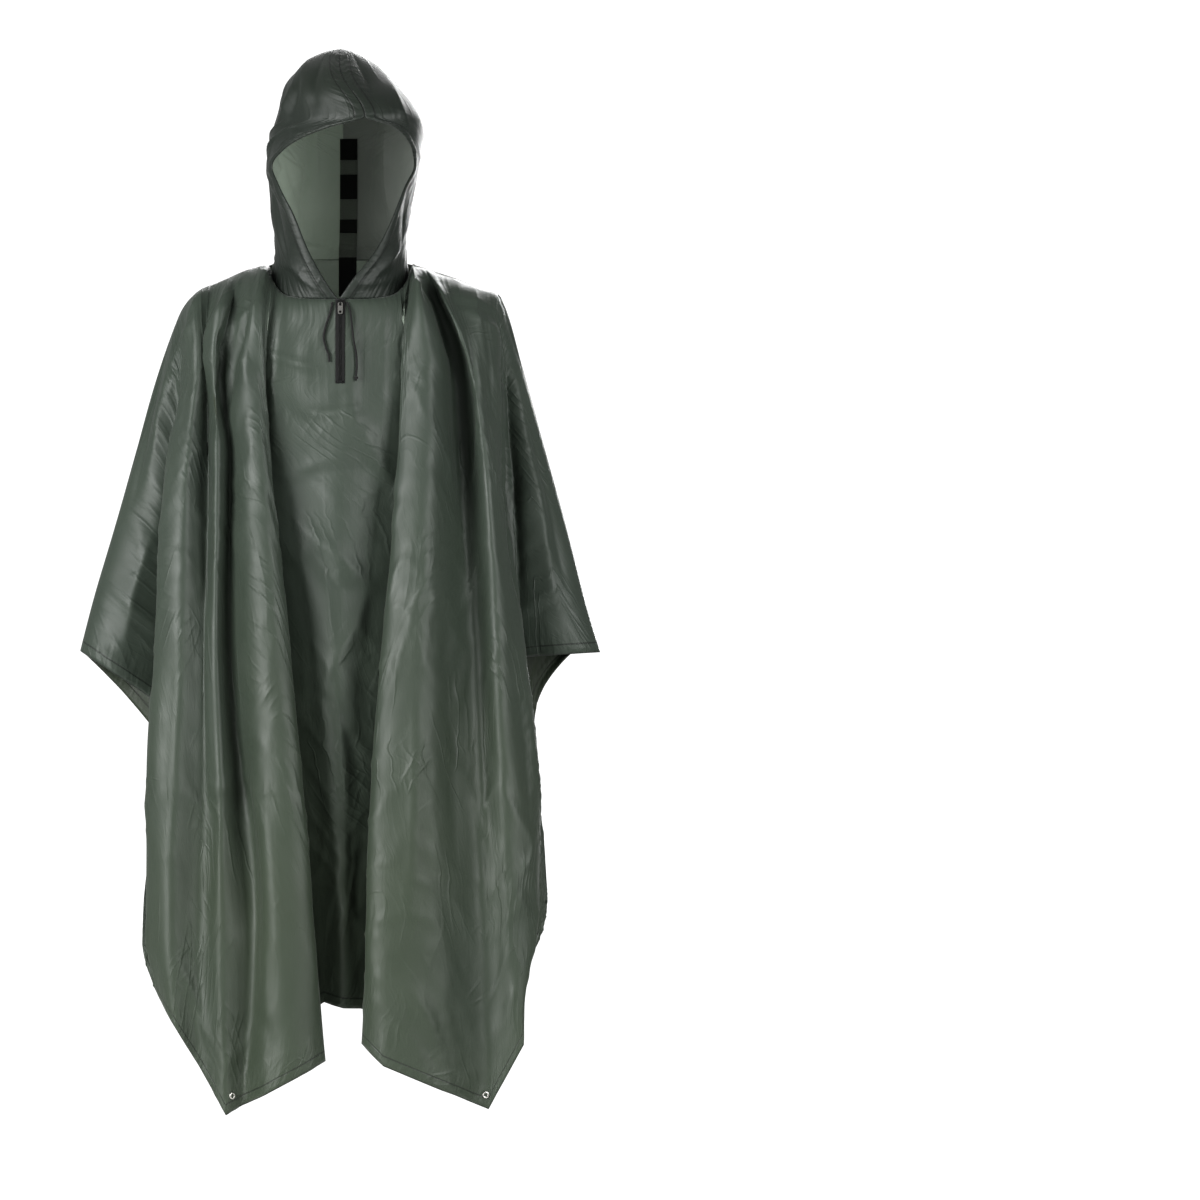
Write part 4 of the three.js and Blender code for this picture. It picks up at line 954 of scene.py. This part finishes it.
rightward = Vector((1, 0, 0))
toothSize = [half * mm for half in zipPlan["toothSize"]]
teeth = []
toothTop = zipPlan["top"] - zipPlan["sliderRoom"]
toothCount = int((toothTop - zipPlan["bottom"] - zipPlan["endRoom"]) / zipPlan["toothPitch"])
for k in range(toothCount):
    z = toothTop - k * zipPlan["toothPitch"]
    for hand in (-1, 1):  # the two rows interlock, so each sits a little above the other
        place, out = onCloth(frontTree, zipPlan["x"] + hand, z - hand * 0.3, -1,
                             zipPlan["lift"] + 0.6)
        teeth.append((place, rightward, out.cross(rightward).normalized(), out, toothSize))
zipCoil = joinBoxes("zip_coil_teeth", teeth, coilNylon)
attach(zipCoil, "garment")
stopPlace, stopOut = onCloth(frontTree, zipPlan["x"], zipPlan["bottom"] + zipPlan["endRoom"], -1,
                             zipPlan["lift"] + 1.1)
stopUp = stopOut.cross(rightward).normalized()
stopSize = [half * mm for half in zipPlan["stopSize"]]
stopBar = (stopPlace, rightward, stopUp, stopOut, stopSize)
zipStop = joinBoxes("zip_bottom_bar", [stopBar], coilNylon)
sewOn(zipStop, "zip_stop")

# the slider and its pull are the part's own solids, in better materials
for node, material, slotName in (("zip_slider", lacquer, "zip_slider"),
                                 ("zip_pull", nickel, "metal")):
    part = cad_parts[node]
    part.data.materials.clear()
    part.data.materials.append(material)
    roundEdges(part, 0.3, 3)

# hook and loop strip down the inside of the hood
stripPlan = {"x": 8, "width": 25, "top": 218, "bottom": -7, "fall": 62, "hang": 4, "lift": 1.2}
patches = [(218, 188), (167, 132), (102, 83), (48, -7)]


def hoodStrip(top, bottom, lift, rows):
    columns = []
    for offset in np.linspace(-stripPlan["width"] / 2, stripPlan["width"] / 2, 7):
        x = stripPlan["x"] + offset
        column = []
        for z in np.linspace(top, bottom, rows):
            tree = hoodTrees[-1 if x < 0 else 1]
            point, out = onCloth(tree, x, max(z, stripPlan["fall"]), 1, -lift)
            if z < stripPlan["fall"]:
                point = Vector((x * mm, (neck["back"] - stripPlan["hang"] - lift) * mm, z * mm))
            column.append(point)
        columns.append(column)
    return stripGrid(columns)


strip = hoodStrip(stripPlan["top"], stripPlan["bottom"], stripPlan["lift"], 70)
webbing = clothMesh("hood_webbing", strip)
thicken(webbing, 0.7, webbingCloth)
sewOn(webbing, "hood_tape")
for k, (top, bottom) in enumerate(patches, 1):
    patch = clothMesh(f"hood_patch_{k}", hoodStrip(top, bottom, stripPlan["lift"] + 1.5, 24))
    thicken(patch, 1.4, loopCloth)
    sewOn(patch, f"hood_loop_{k}")
print("zip and hook tape are on")


cordPlan = {"diameter": 3, "knot": 3.1, "knotCord": 2.6, "knotSize": 1.15, "knotDepth": 1.0}
# drawcord ends: x, z and the room between cord and cloth, as in the part
cordRoutes = {
    "right": [(-8, -21, 0.25), (-10, -32, 0.6), (-14, -45, 1), (-18, -58, 1.2), (-20, -70, 1.2),
              (-17, -84, 1.2), (-13, -95, 1.2), (-12, -104, 1.2)],
    "left": [(12, -21, 0.25), (16, -31, 0.8), (18, -42, 1.6), (20, -60, 1.8), (22, -76, 1.6),
             (25, -92, 1.6), (26, -108, 1.8), (25, -124, 2.2)],
}


def cordTube(name, path, radius, sides=14):
    # a tube on a path, with the length along it as its texture map
    path = [Vector(p) for p in path]
    points, faces, uvs = [], [], []
    run = 0.0
    for k, place in enumerate(path):
        ahead = (path[min(k + 1, len(path) - 1)] - path[max(k - 1, 0)]).normalized()
        sideways = ahead.cross(Vector((0, 1, 0))).normalized()
        upward = sideways.cross(ahead)
        run += (place - path[k - 1]).length if k else 0.0
        for s in range(sides):
            angle = 2 * math.pi * s / sides
            points.append(place + (sideways * math.cos(angle) + upward * math.sin(angle)) * radius)
            uvs.append((radius * angle, run))
    for k in range(len(path) - 1):
        for s in range(sides):
            t = (s + 1) % sides
            faces.append((k * sides + s, k * sides + t, (k + 1) * sides + t, (k + 1) * sides + s))
    faces.append(tuple(range(sides))[::-1])
    faces.append(tuple((len(path) - 1) * sides + s for s in range(sides)))
    mesh = newMesh(name, [tuple(p) for p in points], faces)
    layer = mesh.uv_layers.new(name="cloth")
    for loop in mesh.loops:
        layer.data[loop.index].uv = uvs[loop.vertex_index]
    mesh.materials.append(cordBraid)
    for face in mesh.polygons:
        face.use_smooth = len(face.vertices) == 4
    return addPiece(name, mesh)


def cordPath(route):
    points = []
    for x, z, room in route:
        point, out = onCloth(frontTree, x, z, -1)
        clear = clothThickness / 2 + 0.45 + room + cordPlan["diameter"] / 2
        points.append((point.x, point.y - clear * mm / abs(out.y), point.z))
    return pathLine(points, np.linspace(0, 1, 40))


cords = {}
for hand, route in cordRoutes.items():
    path = cordPath(route)
    cords[hand] = (cordTube(f"cord_{hand}", path, cordPlan["diameter"] / 2 * mm), path)
    sewOn(cords[hand][0], f"drawcord_{hand}")

# the knot is an overhand knot drawn tight: a short tube wound on itself
knotTurns = np.linspace(0, 2 * math.pi * 1.15, 60)
knotMiddle = cords["left"][1][-1] + np.array([0, 0, -cordPlan["knot"] * mm * 0.9])
knotPath = knotMiddle + np.stack([
    (np.sin(knotTurns) + 0.9 * np.sin(2 * knotTurns)) * cordPlan["knotSize"] * mm,
    -np.sin(3 * knotTurns) * cordPlan["knotDepth"] * mm,
    (np.cos(knotTurns) - 0.9 * np.cos(2 * knotTurns)) * cordPlan["knotSize"] * mm], 1)
knot = cordTube("cord_knot", knotPath, cordPlan["knotCord"] / 2 * mm)
sewOn(knot, "drawcord_knot")


# corner eyelets, rolled from sheet: a lathe profile of radius and height
eyeletPlan = {"flange": 5.2, "steps": 40}
eyeletPlaces = {
    "front_right": (frontTree, -145, -1118, -1), "front_left": (frontTree, 205, -1118, -1),
    "back_right": (backTree, -177, -1114, 1), "back_left": (backTree, 221, -1044, 1),
}
eyeletProfile = [(2.4, -1.3), (2.7, -1.9), (3.4, -2.2), (4.4, -2.0), (5.2, -1.2), (5.0, -0.9),
                 (3.2, -0.9), (3.2, 0.9), (5.0, 0.9), (5.2, 1.2), (4.4, 2.0), (3.4, 2.2),
                 (2.7, 1.9), (2.4, 1.3)]
for place, (tree, x, z, side) in eyeletPlaces.items():
    reach = eyeletPlan["flange"]
    across = onCloth(tree, x + reach, z, side)[0] - onCloth(tree, x - reach, z, side)[0]
    up = onCloth(tree, x, z + reach, side)[0] - onCloth(tree, x, z - reach, side)[0]
    out = across.cross(up).normalized()
    across = across.normalized()
    seat = Matrix((across, out.cross(across), out)).transposed().to_4x4()
    seat.translation = onCloth(tree, x, z, side)[0]
    points, faces = [], []
    count, sides = len(eyeletProfile), eyeletPlan["steps"]
    for s in range(sides):
        angle = 2 * math.pi * s / sides
        points += [(r * mm * math.cos(angle), r * mm * math.sin(angle), h * mm)
                   for r, h in eyeletProfile]
        for k in range(count):
            a, b = s * count + k, s * count + (k + 1) % count
            faces.append((a, b, (b + count) % (count * sides), (a + count) % (count * sides)))
    mesh = newMesh(f"eyelet_{place}_ring", points, faces)
    mesh.transform(seat)
    mesh.polygons.foreach_set("use_smooth", [True] * len(faces))
    mesh.materials.append(nickel)
    sewOn(addPiece(f"ring_{place}", mesh), f"eyelet_{place}")
print("cords and eyelets are on")


# studio: a pale floor, a room with a white screen behind, and three large soft lights
board = {"radius": 1.4, "height": -1.5, "sides": 64}
boardEdge = [(board["radius"] * math.cos(angle), board["radius"] * math.sin(angle), board["height"])
             for angle in np.linspace(0, 2 * math.pi, board["sides"], endpoint=False)]
floorMesh = newMesh("studio_floor", boardEdge, [tuple(range(board["sides"]))])
floorMaterial, floorTree = newMaterial("matt white studio board")
grainPlace = addNode(floorTree, "ShaderNodeTexCoord").outputs["Object"]
grain = addNode(floorTree, "ShaderNodeTexNoise", Vector=grainPlace, Scale=4.0,
                Detail=2.0).outputs["Fac"]
floorShade = ramp(floorTree, grain, [(0.3, linear("#ecebe8")), (0.7, linear("#f4f4f2"))])
finishMaterial(floorTree, Base_Color=floorShade, Roughness=0.8)
floorMesh.materials.append(floorMaterial)
floor = addPiece("studio_floor", floorMesh)

world = bpy.data.worlds.new("white room")
world.use_nodes = True
roomTree = world.node_tree
facing = addNode(roomTree, "ShaderNodeSeparateXYZ",
                 Vector=addNode(roomTree, "ShaderNodeTexCoord").outputs["Generated"]).outputs["Y"]
# a white screen stands behind, the rest of the room is grey
background = roomTree.nodes["Background"]
roomTree.links.new(ramp(roomTree, facing, [(0.93, 0.26), (0.975, 1.0)]), background.inputs["Color"])
scene.world = world


def softBox(name, place, aim, size, watts):
    light = bpy.data.lights.new(name, "AREA")
    light.shape = "RECTANGLE"
    light.size, light.size_y = size
    light.energy = watts
    lamp = bpy.data.objects.new(name, light)
    lamp.location = place
    lamp.rotation_euler = (Vector(aim) - Vector(place)).to_track_quat("-Z", "Y").to_euler()
    scene.collection.objects.link(lamp)


# the key and side lights are as in the photograph, and the one behind is for its back view
softBox("key soft box", (-2.4, -2.3, 0.2), (0, 0, -0.5), (1.6, 2.4), 145)
softBox("side soft box", (2.1, -2.2, 0.2), (0, 0, -0.3), (1.2, 2.0), 62)
softBox("back soft box", (0.5, 3.0, 0.5), (0, 0, -0.4), (1.6, 2.2), 130)
print("studio is lit")
